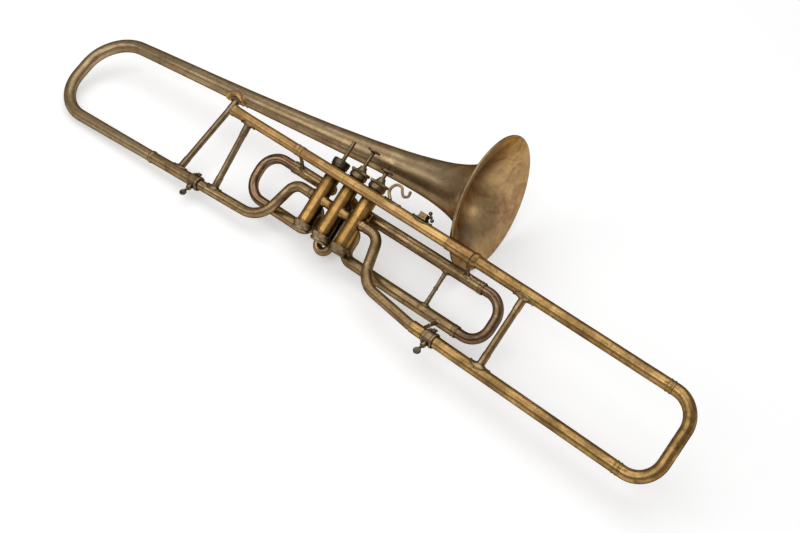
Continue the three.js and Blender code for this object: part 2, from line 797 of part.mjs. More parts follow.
function secondLeg(side, portZ) {
  const x = secondSlideShift + (side * secondSlideSpacing) / 2;
  const corners = [at(0, valveDepth, portZ), at(x, valveSlideDepth, portZ), at(x, valveSlideDepth, secondSlideEnd)];
  return shaped([bentTube(corners, [elbowRadius], secondSleeveRadius, secondSleeveBore)], [casingCut(0)]);
}

addPiece(horn, "second_slide_right_leg", secondLeg(1, secondSlideUpperPort), "brown");
addPiece(horn, "second_slide_left_leg", secondLeg(-1, secondSlideLowerPort), "brown");

const secondSlideRight = secondSlideShift + secondSlideSpacing / 2;
const secondSlideLeft = secondSlideShift - secondSlideSpacing / 2;
const secondSlideFoot = secondSlideEnd - secondSlideDrop - secondSlideSpacing / 2;
const secondBowRun = [
  at(secondSlideRight, valveSlideDepth, secondSlideEnd + secondSlideInsertion),
  at(secondSlideRight, valveSlideDepth, secondSlideFoot),
  at(secondSlideLeft, valveSlideDepth, secondSlideFoot),
  at(secondSlideLeft, valveSlideDepth, secondSlideEnd + secondSlideInsertion),
];
const secondBend = secondSlideSpacing / 2 - fitGap / 2;
const secondBow = bentTube(
  secondBowRun, [secondBend, secondBend], secondSlideTubeRadius, secondSlideTubeRadius - slideWall);
addPiece(horn, "second_slide_bow", secondBow, "copper");

// Front slide: outer tubes with a ring at each end, the bow and the brace
const slideTubeLength = slideEnd - slideStart;
const slideTubeProfile = [
  [sleeveBore, 0],
  [sleeveRadius + beadHeight, 0],
  [sleeveRadius + beadHeight, beadLength * 2],
  [sleeveRadius, beadLength * 2],
  [sleeveRadius, slideTubeLength - beadLength * 2],
  [sleeveRadius + beadHeight / 2, slideTubeLength - beadLength * 2],
  [sleeveRadius + beadHeight / 2, slideTubeLength],
  [sleeveBore, slideTubeLength],
];
const lowerTubeProfile = [
  [sleeveBore, 0],
  [sleeveRadius, 0],
  [sleeveRadius, slideTubeLength - beadLength * 2],
  [sleeveRadius + beadHeight / 2, slideTubeLength - beadLength * 2],
  [sleeveRadius + beadHeight / 2, slideTubeLength],
  [sleeveBore, slideTubeLength],
];
const upperSlideA = slideAt(slideStart);
const upperSlideB = slideAt(slideEnd);
const lowerSlideA = slideAt(slideStart, -slideSpacing);
const lowerSlideB = slideAt(slideEnd, -slideSpacing);
addPiece(horn, "upper_slide_tube", turned(upperSlideA, upperSlideB, slideTubeProfile, 16), "golden");
addPiece(horn, "lower_slide_tube", turned(lowerSlideA, lowerSlideB, lowerTubeProfile, 16), "golden");

const frontBowRun = [
  slideAt(slideEnd + fitGap),
  slideAt(frontBowReach),
  slideAt(frontBowReach, -slideSpacing),
  slideAt(slideEnd + fitGap, -slideSpacing),
];
const frontBends = [frontBowBend - fitGap * 4, frontBowBend - fitGap * 4];
addPiece(horn, "front_bow", bentTube(frontBowRun, frontBends, sleeveRadius, sleeveBore), "golden");

const slideBrace = shaped(
  [brace(
    slideAt(slideBraceX, -slideSpacing), slideAt(slideBraceX),
    sleeveRadius, sleeveRadius, braceRadius, braceSleeveRadius)],
  [pipeCut(upperSlideA, upperSlideB, sleeveRadius), pipeCut(lowerSlideA, lowerSlideB, sleeveRadius)],
);
addPiece(horn, "slide_brace", slideBrace, "golden");

// Brace between the leadpipe and the lower left pipe
const leadpipeBraceFoot = leftPipeAxis(leadpipeBraceFootX);
const leadpipeBraceTop = at(leadpipeBraceTopX, 0, 0);
const leadpipeBrace = shaped(
  [brace(leadpipeBraceFoot, leadpipeBraceTop, pipeRadius, receiverRadius, braceRadius, braceSleeveRadius)],
  [
    pipeCut(leftPipeAxis(bellTubeStart), leftPipeAxis(leftSweepCorner - leftSweepRadius), pipeRadius),
    pipeCut(receiverA, receiverB, receiverRadius),
  ],
);
addPiece(horn, "leadpipe_brace", leadpipeBrace, "brown");

// Short posts that hold the valve slides' legs
function post(a, b, cutA, cutB, radius) {
  return shaped([rod(a, b, radius, 10)], [cutA, cutB]);
}

const firstLegAxis = [at(firstSlideEnd, valveSlideDepth, firstSlideTop), at(-valvePitch, valveSlideDepth, firstSlideTop)];
const thirdUpperAxis = [at(valvePitch, valveSlideDepth, thirdSlideTop), at(thirdSlideEnd, valveSlideDepth, thirdSlideTop)];
const thirdLowerAxis = [
  at(valvePitch, valveSlideDepth, thirdSlideBottom),
  at(thirdSlideEnd, valveSlideDepth, thirdSlideBottom),
];
const firstPost = post(
  at(firstPostX, 0, 0),
  at(firstPostX, valveSlideDepth, firstSlideTop),
  pipeCut(receiverA, receiverB, receiverRadius + beadHeight / 2),
  pipeCut(...firstLegAxis, sleeveRadius),
  postRadius,
);
addPiece(horn, "first_slide_post", firstPost, "dark");

const thirdPost = post(
  at(thirdPostX, 0, 0),
  at(thirdPostX, valveSlideDepth, thirdSlideTop),
  pipeCut(ferruleA, ferruleB, ferruleRadius),
  pipeCut(...thirdUpperAxis, sleeveRadius),
  postRadius,
);
addPiece(horn, "third_slide_post", thirdPost, "dark");

const thirdBrace = post(
  at(thirdBraceX, valveSlideDepth, thirdSlideTop),
  at(thirdBraceX, valveSlideDepth, thirdSlideBottom),
  pipeCut(...thirdUpperAxis, sleeveRadius),
  pipeCut(...thirdLowerAxis, sleeveRadius),
  thirdBraceRadius,
);
addPiece(horn, "third_slide_brace", thirdBrace, "dark");

const lowerFerruleA = slideAt(lowerFerruleStart, -slideSpacing);
const lowerFerruleB = slideAt(leadpipeFerruleEnd, -slideSpacing);
const thirdStay = post(
  slideAt(thirdStayX - postRadius * 2, -slideSpacing),
  at(thirdStayX - postRadius * 2, valveSlideDepth, thirdSlideBottom),
  pipeCut(lowerFerruleA, lowerFerruleB, pipeRadius + fitGap + leadpipeFerruleWall),
  pipeCut(...thirdLowerAxis, sleeveRadius),
  postRadius,
);
addPiece(horn, "third_slide_stay", thirdStay, "dark");

// Clamp collars, each with a boss under it for its thumb screw
function clampCollar(a, b, tubeRadius, down, screwWay) {
  const middle = a.clone().lerp(b, 1 / 2);
  const inner = tubeRadius + fitGap;
  const outer = inner + collarWall;
  const band = straightTube(a, b, outer, inner, 16);
  const bossStart = middle.clone().addScaledVector(screwWay, inner + collarWall / 2);
  const bossEnd = middle.clone().addScaledVector(screwWay, outer + clampBossLength);
  const screwEnd = middle.clone().addScaledVector(screwWay, outer + clampBossLength + overrun);
  const boss = rod(bossStart, bossEnd, clampBossRadius, 12);
  const lugStart = middle.clone().addScaledVector(down, -inner - collarWall / 2);
  const lugEnd = middle.clone().addScaledVector(down, -outer - clampLugLength);
  const lug = rod(lugStart, lugEnd, clampLugRadius, 10);
  const hole = rod(middle, screwEnd, clampScrewRadius + fitGap, 16);
  return shaped([band, boss, lug], [hole]);
}

function clampScrew(middle, tubeRadius, way, across) {
  const start = middle.clone().addScaledVector(way, tubeRadius + fitGap * 2);
  const end = start.clone().addScaledVector(way, clampScrewLength);
  const knobFrom = end.clone().addScaledVector(across, -clampKnobThickness / 2);
  const knobTo = end.clone().addScaledVector(across, clampKnobThickness / 2);
  knobFrom.addScaledVector(way, clampKnobRadius - fitGap);
  knobTo.addScaledVector(way, clampKnobRadius - fitGap);
  return shaped([rod(start, end, clampScrewRadius, 16), rod(knobFrom, knobTo, clampKnobRadius, 16)]);
}

const acrossSlides = at(0, 1, 0);

// From straight down, tilted forward
function screwDirection(down) {
  const way = down.clone().multiplyScalar(Math.cos(clampTilt));
  return way.addScaledVector(acrossSlides, -Math.sin(clampTilt));
}

const leftPipeDirection = leftPipeAxis(leftPipeEnd).sub(leftPipeAxis(bellTubeEnd)).normalize();
const leftPipeDown = leftPipeDirection.clone().cross(acrossSlides).negate();
const leftMiddle = leftPipeAxis(leftCollarX);
const leftCollarA = leftMiddle.clone().addScaledVector(leftPipeDirection, -collarLength / 2);
const leftCollarB = leftMiddle.clone().addScaledVector(leftPipeDirection, collarLength / 2);
const leftWay = screwDirection(leftPipeDown);
const leftCollar = clampCollar(leftCollarA, leftCollarB, bellTubeRadius, leftPipeDown, leftWay);
addPiece(horn, "left_clamp_collar", leftCollar, "dark");
const leftAcross = leftWay.clone().cross(leftPipeDirection);
addPiece(horn, "left_clamp_screw", clampScrew(leftMiddle, bellTubeRadius, leftWay, leftAcross), "dark");

const rightMiddle = slideAt(rightCollarX, -slideSpacing);
const rightCollarA = slideAt(rightCollarX - collarLength / 2, -slideSpacing);
const rightCollarB = slideAt(rightCollarX + collarLength / 2, -slideSpacing);
const slideDirection = slideAt(slideEnd).sub(slideAt(slideStart)).normalize();
const slideDown = slideDirection.clone().cross(acrossSlides).negate();
const rightWay = screwDirection(slideDown);
const rightCollar = clampCollar(rightCollarA, rightCollarB, sleeveRadius, slideDown, rightWay);
addPiece(horn, "right_clamp_collar", rightCollar, "dark");
const rightAcross = rightWay.clone().cross(slideDirection);
addPiece(horn, "right_clamp_screw", clampScrew(rightMiddle, sleeveRadius, rightWay, rightAcross), "dark");

// Finger hook: an S of wire on a small saddle
const hookBase = leadpipeRadiusAtValves + footThickness;
const hookShares = [
  [-0.16, -0.08], [-0.43, 0.25], [-0.46, 0.6], [-0.28, 0.92], [0.02, 0.94],
  [0.19, 0.68], [0.38, 0.5], [0.58, 0.66], [0.56, 0.92],
];
const hookPoints = hookShares.map(([along, up]) => at(hookX + along * hookLength, 0, hookBase + up * hookHeight));
const hookPath = new THREE.CatmullRomCurve3(hookPoints);
const hookWire = new THREE.ExtrudeGeometry(
  ring(hookWireRadius, 0), { steps: 26, extrudePath: hookPath, curveSegments: 4, bevelEnabled: false });
const leadpipeA = at(leadpipeStart, 0, 0);
const leadpipeB = at(leadpipeEnd, 0, 0);
const hookDisc = rod(at(hookX, 0, 0), at(hookX, 0, hookBase), hookFlangeRadius, 20);
const hookSaddle = within(hookDisc, rod(leadpipeA, leadpipeB, hookBase, 24));
const leadpipeCut = pipeCut(leadpipeA, leadpipeB, leadpipeEndRadius);
addPiece(horn, "finger_hook", shaped([hookSaddle, hookWire], [leadpipeCut]), "brown");

// Lyre holder: a square socket on a saddle, with a cross-handled screw that rises from its front wall
const lyreBase = leadpipeEndRadius + lyreFlangeThickness;
const lyreBox = new THREE.BoxGeometry(lyreBoxWidth, lyreBoxWidth, lyreBoxHeight);
lyreBox.translate(lyreX, 0, lyreBase - fitGap + lyreBoxHeight / 2);
const lyreHole = new THREE.BoxGeometry(lyreHoleWidth, lyreHoleWidth, lyreBoxHeight);
lyreHole.translate(lyreX, 0, lyreBase + fitGap + lyreBoxHeight / 2);
const lyreDisc = rod(at(lyreX, 0, 0), at(lyreX, 0, lyreBase), lyreFlangeRadius, 20);
const lyreSaddle = within(lyreDisc, rod(leadpipeA, leadpipeB, lyreBase, 24));
const lyreTilt = THREE.MathUtils.degToRad(lyreScrewTiltDegrees);
const lyreTurn = THREE.MathUtils.degToRad(lyreBarTurnDegrees);
const lyreWay = at(Math.cos(lyreTilt), 0, Math.sin(lyreTilt));
const lyreWallRun = (lyreBoxWidth - lyreHoleWidth) / 2 / Math.cos(lyreTilt);
const lyreFace = at(lyreX + lyreBoxWidth / 2, 0, lyreBase + lyreScrewHeight);
const lyreHoleFrom = lyreFace.clone().addScaledVector(lyreWay, -lyreWallRun - lyreScrewRadius);
const lyreHoleTo = lyreFace.clone().addScaledVector(lyreWay, overrun);
const lyreScrewHole = rod(lyreHoleFrom, lyreHoleTo, lyreScrewRadius + fitGap, 16);
addPiece(horn, "lyre_holder", shaped([lyreSaddle, lyreBox], [leadpipeCut, lyreHole, lyreScrewHole]), "brown");

// The screw's tip stays inside the wall, so that the socket is free
const lyreTip = lyreFace.clone().addScaledVector(lyreWay, lyreScrewRadius - lyreWallRun);
const lyreCross = lyreFace.clone().addScaledVector(lyreWay, lyreScrewLength);
const lyreBarWay = at(
  -Math.sin(lyreTilt) * Math.cos(lyreTurn), -Math.sin(lyreTurn), Math.cos(lyreTilt) * Math.cos(lyreTurn));
const lyreBarA = lyreCross.clone().addScaledVector(lyreBarWay, -lyreBarLength / 2);
const lyreBarB = lyreCross.clone().addScaledVector(lyreBarWay, lyreBarLength / 2);
const lyreBalls = [lyreBarA, lyreBarB].map((middle) => {
  const ball = new THREE.SphereGeometry(lyreBallRadius, 12, 8);
  ball.translate(middle.x, middle.y, middle.z);
  return ball;
});
const lyreShaft = rod(lyreTip, lyreCross, lyreScrewRadius, 16);
const lyreBar = rod(lyreBarA, lyreBarB, lyreBarRadius, 8);
addPiece(horn, "lyre_screw", shaped([lyreShaft, lyreBar, ...lyreBalls]), "dark");

// The horn as it rests on a table, with the origin under its middle
horn.rotation.set(THREE.MathUtils.degToRad(-leanDegrees), THREE.MathUtils.degToRad(-riseDegrees), 0, "YXZ");
const trombone = new THREE.Group();
trombone.add(horn);
trombone.updateMatrixWorld(true);
const bounds = new THREE.Box3().setFromObject(trombone, true);
const middle = bounds.getCenter(new THREE.Vector3());
horn.position.set(-middle.x, -middle.y, -bounds.min.z);

export default trombone;
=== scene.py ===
"""Looks of a worn three-valve tenor trombone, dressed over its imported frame.

Sizes are in millimetres in the horn's own frame, which the frame's joints give: X runs along the slide
tubes towards the front bow, Z up the valve casings, and Y from the leadpipe to the bell.
"""
import json
import math

import bmesh
import bpy
import numpy as np
from mathutils import Matrix, Vector, noise


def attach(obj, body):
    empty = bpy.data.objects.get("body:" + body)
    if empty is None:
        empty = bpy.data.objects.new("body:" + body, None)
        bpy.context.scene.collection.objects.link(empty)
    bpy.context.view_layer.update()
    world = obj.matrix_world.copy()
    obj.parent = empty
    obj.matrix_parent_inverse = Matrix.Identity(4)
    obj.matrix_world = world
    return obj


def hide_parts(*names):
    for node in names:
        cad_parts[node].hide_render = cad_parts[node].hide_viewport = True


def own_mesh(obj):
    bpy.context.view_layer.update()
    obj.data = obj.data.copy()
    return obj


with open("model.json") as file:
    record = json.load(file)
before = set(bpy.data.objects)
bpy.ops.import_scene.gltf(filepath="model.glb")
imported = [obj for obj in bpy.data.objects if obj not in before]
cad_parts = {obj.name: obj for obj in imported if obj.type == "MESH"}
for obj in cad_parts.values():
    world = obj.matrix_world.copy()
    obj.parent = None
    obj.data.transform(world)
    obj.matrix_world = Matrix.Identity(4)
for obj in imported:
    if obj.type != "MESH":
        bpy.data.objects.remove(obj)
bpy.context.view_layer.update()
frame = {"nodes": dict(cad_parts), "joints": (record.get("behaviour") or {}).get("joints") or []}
noise.seed_set(7)  # the same dents each time
MM = 0.001
GAP = 0.3  # clearance between two pieces

# Drawn pipes, all as radii
BORE = 6.4
PIPE = 7.2
INNER_SLIDE = BORE + 0.6
SLEEVE_BORE = INNER_SLIDE + GAP
SLEEVE = SLEEVE_BORE + 0.7
BELL_TUBE = 8.2

# Valves
PITCH = 32.3
DEPTH = 18.5  # of the valves' axes behind the leadpipe
CASING = 10.7
CASING_BORE = 9.9
CASING_TOP = 16
CASING_BOTTOM = -84
KNUCKLE = 6.6
KNUCKLE_LEVEL = -39
PORT_REACH = CASING - 1.6  # from a valve's axis to where its side pipes start
CAP = 12.2
CAP_BORE = CASING + GAP
VALVE_TRAVEL = 15
THIRD_DOWN = 14  # the third valve is stuck this much down

# Valve slides
SLIDE_DEPTH = 40.0  # of their axes behind the leadpipe
FIRST_LEVEL = -21
FIRST_SPACING = 64
THIRD_LEVEL = -25
THIRD_SPACING = 63
LOW_PORT = -54
PORT_BEND = 9.6
SECOND_MIDDLE = -1.2
SECOND_HALF_SPACING = 9.5

# Leadpipe and front slide, along X
RECEIVER_START = -210
LEADPIPE_START = -78
LEADPIPE_END = 177
LEADPIPE_WIDENING = 0.6
RECEIVER_RING = 7.85
FERRULE = 8.7
CUFF = 8.1
RIGHT_PIPE_END = 196
SLIDE_START = 208
SLIDE_END = 501
INNER_SLIDE_END = 340
SLIDE_SPACING = 110
SLIDE_DROOP = math.radians(0.9)

# Bell section
LEFT_PIPE_END = -235
LEFT_LEVEL = -112.7  # of the left pipe at that end
LEFT_SLOPE = 0.05
BELL_TUBE_START = -300
BELL_TUBE_END = -205
BELL_TAIL = np.array((-450.0, 68.0, 7.5))
BELL_RIM = np.array((155.0, 75.0, 73.0))
BELL_WAY = BELL_RIM - BELL_TAIL
BELL_LENGTH = float(np.linalg.norm(BELL_WAY))
RIM_RADIUS = 93
FLARE = 11
FLARE_POWER = 0.56
BELL_SAG = 3.3  # how far the old bell has bowed down between its ends
SAG_POWER = 1.5

# Fineness of the meshes and size of their dents
BEND_STEP = math.radians(4)
RING_STEP = 12
DENT_STEP = 8
DENT_SIZE = 28.0
SHARP = math.radians(38)


def at(x, y, z):
    """A place or a direction in the horn's frame."""
    return np.array((x, y, z), float)


def unit(v):
    return v / np.linalg.norm(v)


ALONG = at(1, 0, 0)
BACK = at(0, 1, 0)
UP = at(0, 0, 1)


def joint(name):
    return next(j for j in frame["joints"] if j["name"] == name)


def horn_matrix():
    """The horn's frame in the part's frame, from two joints' axes and the middle valve's place."""
    along = Vector(joint("pull_third_slide")["axis"]).normalized()
    up = Vector(joint("press_valve_2")["axis"]).normalized()
    back = up.cross(along).normalized()
    up = along.cross(back)
    origin = Vector(joint("press_valve_2")["pos_m"]) - back * DEPTH * MM
    matrix = Matrix((along, back, up)).transposed().to_4x4()
    matrix.translation = origin
    return matrix


HORN = horn_matrix()


# Places on the horn
def slide_at(x, z=0.0):
    """A place on the front slide, which droops a little: x along its upper tube, z above its axis."""
    along = x - LEADPIPE_END
    c, s = math.cos(SLIDE_DROOP), math.sin(SLIDE_DROOP)
    return at(LEADPIPE_END + along * c + z * s, 0, z * c - along * s)


def lower_at(x):
    """A place on the front slide's lower tube."""
    return slide_at(x, -SLIDE_SPACING)


def left_at(x):
    """A place on the axis of the lower left pipe."""
    return at(x, DEPTH, LEFT_LEVEL + (x - LEFT_PIPE_END) * LEFT_SLOPE)


def valve_at(number, z):
    """A place on the axis of valve 1, 2 or 3."""
    return at((number - 2) * PITCH, DEPTH, z)


def rear_at(x, z):
    """A place in the plane of the valve slides."""
    return at(x, SLIDE_DEPTH, z)


def bell_drop(share):
    """How far the bell's axis hangs below the straight line between its ends."""
    return BELL_SAG * np.maximum(0, 4 * share * (1 - share)) ** SAG_POWER


def bell_at(x):
    """A place on the bell's axis, or on its line beyond the tail."""
    share = (x - BELL_TAIL[0]) / BELL_WAY[0]
    return BELL_TAIL + BELL_WAY * share - UP * bell_drop(share)


def bell_radius(from_rim):
    return RIM_RADIUS * (FLARE / (from_rim + FLARE)) ** FLARE_POWER


SLIDE_WAY = slide_at(SLIDE_END) - slide_at(SLIDE_START)
LEFT_WAY = left_at(BELL_TUBE_END) - left_at(BELL_TUBE_START)


# Shapes, each as points and faces
def rounded(outline, fillet):
    """The outline with each corner between its ends rounded off."""
    steps, most_share = 3, 0.45
    points = [np.array(p, float) for p in outline]
    out = [points[0]]
    for i in range(1, len(points) - 1):
        before, after = points[i - 1] - points[i], points[i + 1] - points[i]
        length_before, length_after = np.linalg.norm(before), np.linalg.norm(after)
        cut = min(fillet, length_before * most_share, length_after * most_share)
        start, end = points[i] + before / length_before * cut, points[i] + after / length_after * cut
        for k in range(steps + 1):
            t = k / steps
            out.append(start * (1 - t) ** 2 + points[i] * 2 * t * (1 - t) + end * t ** 2)
    out.append(points[-1])
    return out


def mirrored(half, middle):
    """The whole outline of a piece that is alike on both sides of its middle, from its first half."""
    return [*half, *((radius, 2 * middle - place) for radius, place in half[::-1] if place != middle)]


def run(corners, bends):
    """Points and directions along straight lengths joined by round bends."""
    points, ways = [corners[0]], [unit(corners[1] - corners[0])]

    def go_straight(end, way, to_end):
        base = points[-1]
        count = max(1, int(np.linalg.norm(end - base) / RING_STEP))
        for k in range(1, count + to_end):
            points.append(base + (end - base) * k / count)
            ways.append(way)

    for i in range(1, len(corners) - 1):
        before, after = unit(corners[i] - corners[i - 1]), unit(corners[i + 1] - corners[i])
        turn = math.acos(float(np.clip(before @ after, -1, 1)))
        inward = unit(after - before * math.cos(turn))
        start = corners[i] - before * bends[i - 1] * math.tan(turn / 2)
        go_straight(start, before, to_end=False)
        count = max(2, math.ceil(turn / BEND_STEP))
        for k in range(count + 1):
            angle = turn * k / count
            offset = inward * (1 - math.cos(angle)) + before * math.sin(angle)
            points.append(start + offset * bends[i - 1])
            ways.append(before * math.cos(angle) + inward * math.sin(angle))
    go_straight(corners[-1], unit(corners[-1] - points[-1]), to_end=True)
    return np.array(points), np.array(ways)


def side_frames(ways):
    """Two directions across each step of a run, without twist."""
    nearly_zero = 0.1
    first = np.cross(ways[0], BACK)
    if np.linalg.norm(first) < nearly_zero:
        first = np.cross(ways[0], UP)
    across = [unit(first)]
    for way in ways[1:]:
        across.append(unit(across[-1] - way * (across[-1] @ way)))
    across = np.array(across)
    return across, np.cross(ways, across)


def circle_angles(sides):
    return np.linspace(0, 2 * math.pi, sides, endpoint=False)


def rings(points, ways, radii, sides):
    """A grid of points: one ring of the given radius round each point of a run."""
    u, v = side_frames(ways)
    angles = circle_angles(sides)
    circle = u[:, None] * np.cos(angles)[None, :, None] + v[:, None] * np.sin(angles)[None, :, None]
    radii = np.broadcast_to(np.asarray(radii, float), (len(points),))
    return points[:, None] + circle * radii[:, None, None]


def closed_grid(grid):
    """A grid of points that closes on itself both ways."""
    rows, cols = grid.shape[:2]
    faces = []
    for i in range(rows):
        k = (i + 1) % rows
        for j in range(cols):
            m = (j + 1) % cols
            faces.append((i * cols + j, i * cols + m, k * cols + m, k * cols + j))
    return grid.reshape(-1, 3), faces


def worn(grid, amount, seed):
    """Shallow dents and waves, as in thin brass that has been handled for a century."""
    flat = grid.reshape(-1, 3)
    shift = [noise.noise_vector(Vector(p / DENT_SIZE) + Vector((seed,) * 3)) for p in flat]
    return (flat + np.array(shift) * amount).reshape(grid.shape)


def bent_tube(corners, bends, outer, inner, seed):
    """A bent pipe. outer is one radius, or the radii at both ends of a pipe that narrows steadily."""
    sides, wear = 40, 0.12
    points, ways = run(corners, bends)
    lengths = np.concatenate(([0], np.cumsum(np.linalg.norm(np.diff(points, axis=0), axis=1))))
    first, last = outer if isinstance(outer, tuple) else (outer, outer)
    radii = first + (last - first) * lengths / lengths[-1]
    outside = worn(rings(points, ways, radii, sides), wear, seed)
    inside = rings(points, ways, radii - (last - inner), sides)[::-1]
    return closed_grid(np.concatenate((outside, inside)))


def turned(start, way, outline, sides=64, fillet=0.4, knurl=None, wear=0.0, seed=0.0):
    """A turned piece, from an outline of radii and of distances from its start.
    knurl is (from, to, teeth, depth) along its length."""
    way = unit(way)
    if fillet:
        outline = rounded([*outline, outline[0]], fillet)[:-1]
    radii, distances = (np.array(values) for values in zip(*outline))
    points = start + way * distances[:, None]
    ways = np.repeat(way[None], len(points), axis=0)
    grid = rings(points, ways, radii, sides)
    if knurl:
        low, high, teeth, depth = knurl
        knurled_reach = 0.8  # how far below the widest ring the ridges are cut
        top = max(r for r, d in zip(radii, distances) if low <= d <= high)
        ridge = 1 - depth / top * (0.5 - 0.5 * np.cos(circle_angles(sides) * teeth))
        for i, (r, d) in enumerate(zip(radii, distances)):
            if low <= d <= high and r > top - knurled_reach:
                grid[i] = points[i] + (grid[i] - points[i]) * ridge[:, None]
    if wear:
        grid = worn(grid, wear, seed)
    return closed_grid(grid)


def straight_tube(a, b, outer, inner, seed=0.0):
    """A drawn tube with rings often enough to carry its shallow dents."""
    sides, wear, ease = 48, 0.12, 0.35
    length = float(np.linalg.norm(b - a))
    count = max(2, int(length / DENT_STEP))
    outline = [(inner, 0), (outer - ease, 0), (outer, ease)]
    outline += [(outer, length * k / count) for k in range(1, count)]
    outline += [(outer, length - ease), (outer - ease, length), (inner, length)]
    return turned(a, b - a, outline, sides, fillet=0, wear=wear, seed=seed)


def round_wire(points, radii, sides):
    """A wire along the points, with both ends closed."""
    ways = np.gradient(points, axis=0)
    ways /= np.linalg.norm(ways, axis=1)[:, None]
    grid = rings(points, ways, radii, sides)
    grid = np.concatenate((points[:1, None].repeat(sides, 1), grid, points[-1:, None].repeat(sides, 1)))
    return grid.reshape(-1, 3), closed_grid(grid)[1][:-sides]


def bead(centre, way, tube_radius, width, rise):
    """A half-round ring that stands out of a tube."""
    steps, sides, sunk, foot_depth = 10, 56, 0.1, 0.3
    radius = tube_radius - sunk
    foot = radius - foot_depth
    arc = [math.pi * k / steps for k in range(steps + 1)]
    outline = [(foot, -width / 2)]
    outline += [(radius + rise * math.sin(angle), -width / 2 * math.cos(angle)) for angle in arc]
    outline.append((foot, width / 2))
    return turned(centre, way, outline, sides, fillet=0)


def saddle(centre, along, out, radius, half_length, half_width, thickness, neck=0.0, neck_rise=0.0,
           ridges=(0.9,), ridge_height=0.9):
    """A thin plate wrapped on a tube of the given radius, with a solder fillet up to a post's neck.
    ridges are shares of the plate's half size, at which a raised line runs round it."""
    plate_shares = [
        0, 0.12, 0.22, 0.32, 0.42, 0.48, 0.52, 0.56, 0.6, 0.64, 0.7, 0.76, 0.81, 0.85, 0.89, 0.93, 0.96, 0.98,
        1.0]
    edge_power, ridge_share, fillet_share = 10, 0.05, 0.35
    top_sunk, under_sunk, sides = 0.2, 0.5, 48
    along = unit(along)
    out = unit(out - along * (out @ along))
    across = np.cross(along, out)
    grid = []
    for under in (False, True):
        for share in (plate_shares[::-1] if under else plate_shares):
            ring = []
            for angle in circle_angles(sides):
                u = share * math.cos(angle) * half_length
                w = share * math.sin(angle) * half_width
                rise = thickness * (1 - share ** edge_power)
                rise += sum(ridge_height * math.exp(-((share - r) / ridge_share) ** 2) for r in ridges)
                if neck:
                    beyond = max(0.0, math.hypot(u, w) - neck)
                    rise += neck_rise * math.exp(-beyond / (neck * fillet_share))
                height = radius - under_sunk if under else radius + rise - top_sunk
                turn = w / radius
                ring.append(centre + along * u + (out * math.cos(turn) + across * math.sin(turn)) * height)
            grid.append(ring)
    return closed_grid(np.array(grid))


def ball(centre, radius):
    """A ball, turned about the horn's Z."""
    steps, sides = 12, 20
    arc = [math.pi * k / steps for k in range(steps + 1)]
    outline = [(max(0.0, radius * math.sin(angle)), radius - radius * math.cos(angle)) for angle in arc]
    return turned(centre - UP * radius, UP, outline, sides, fillet=0)


def rounded_box(centre, size, bevel):
    bm = bmesh.new()
    bmesh.ops.create_cube(bm, size=1.0)
    for v in bm.verts:
        v.co = Vector((v.co.x * size[0], v.co.y * size[1], v.co.z * size[2]))
    bmesh.ops.bevel(bm, geom=bm.edges[:], offset=bevel, segments=3, profile=0.5, affect="EDGES")
    bm.verts.index_update()
    verts = np.array([centre + np.array(v.co) for v in bm.verts])
    faces = [tuple(v.index for v in f.verts) for f in bm.faces]
    bm.free()
    return verts, faces


def joined(*shapes):
    """Several shapes as one mesh's points and faces."""
    points, faces = [], []
    for verts, quads in shapes:
        start = sum(len(p) for p in points)
        points.append(np.asarray(verts))
        faces += [tuple(start + i for i in quad) for quad in quads]
    return np.concatenate(points), faces


# Materials; their colours are eight-bit display colours
# the dark colour of stains and specks, and of the painted shade in corners and between parts
GRIME_AND_SHADE = (44, 34, 22)
COPPER = (150, 104, 78)


def linear(colour):
    """A display colour as the linear colour that a shader takes."""
    shares = [c / 255 for c in colour]
    return tuple(s / 12.92 if s <= 0.04045 else ((s + 0.055) / 1.055) ** 2.4 for s in shares)


def new_material(name):
    """A new material with its node tree and its shader."""
    material = bpy.data.materials.new(name)
    material.use_nodes = True
    tree = material.node_tree
    tree.nodes.clear()
    output = tree.nodes.new("ShaderNodeOutputMaterial")
    shader = tree.nodes.new("ShaderNodeBsdfPrincipled")
    tree.links.new(shader.outputs[0], output.inputs[0])
    return material, tree, shader


def set_inputs(node, values):
    for name, value in values.items():
        node.inputs[name].default_value = value


def noise_node(tree, source, scale, detail, roughness, distortion=0.0):
    node = tree.nodes.new("ShaderNodeTexNoise")
    set_inputs(node, {"Scale": scale, "Detail": detail, "Roughness": roughness, "Distortion": distortion})
    tree.links.new(source, node.inputs["Vector"])
    return node.outputs["Fac"]


def ramp_node(tree, source, stops):
    """A ramp through (place, linear colour) stops."""
    node = tree.nodes.new("ShaderNodeValToRGB")
    ramp = node.color_ramp
    while len(ramp.elements) < len(stops):
        ramp.elements.new(0.5)
    for element, (place, colour) in zip(ramp.elements, stops):
        element.position = place
        element.color = (*colour, 1)
    tree.links.new(source, node.inputs["Fac"])
    return node.outputs["Color"]


def fade(tree, source, start, end, after, before=0.0):
    """A value that goes from before to after while the source goes from start to end."""
    return ramp_node(tree, source, [(start, (before,) * 3), (end, (after,) * 3)])


def mixed(tree, factor, a, b):
    node = tree.nodes.new("ShaderNodeMix")
    node.data_type = "RGBA"
    if isinstance(factor, float):
        node.inputs[0].default_value = factor
    else:
        tree.links.new(factor, node.inputs[0])
    for socket, value in ((node.inputs[6], a), (node.inputs[7], b)):
        if isinstance(value, tuple):
            socket.default_value = (*value, 1)
        else:
            tree.links.new(value, socket)
    return node.outputs[2]


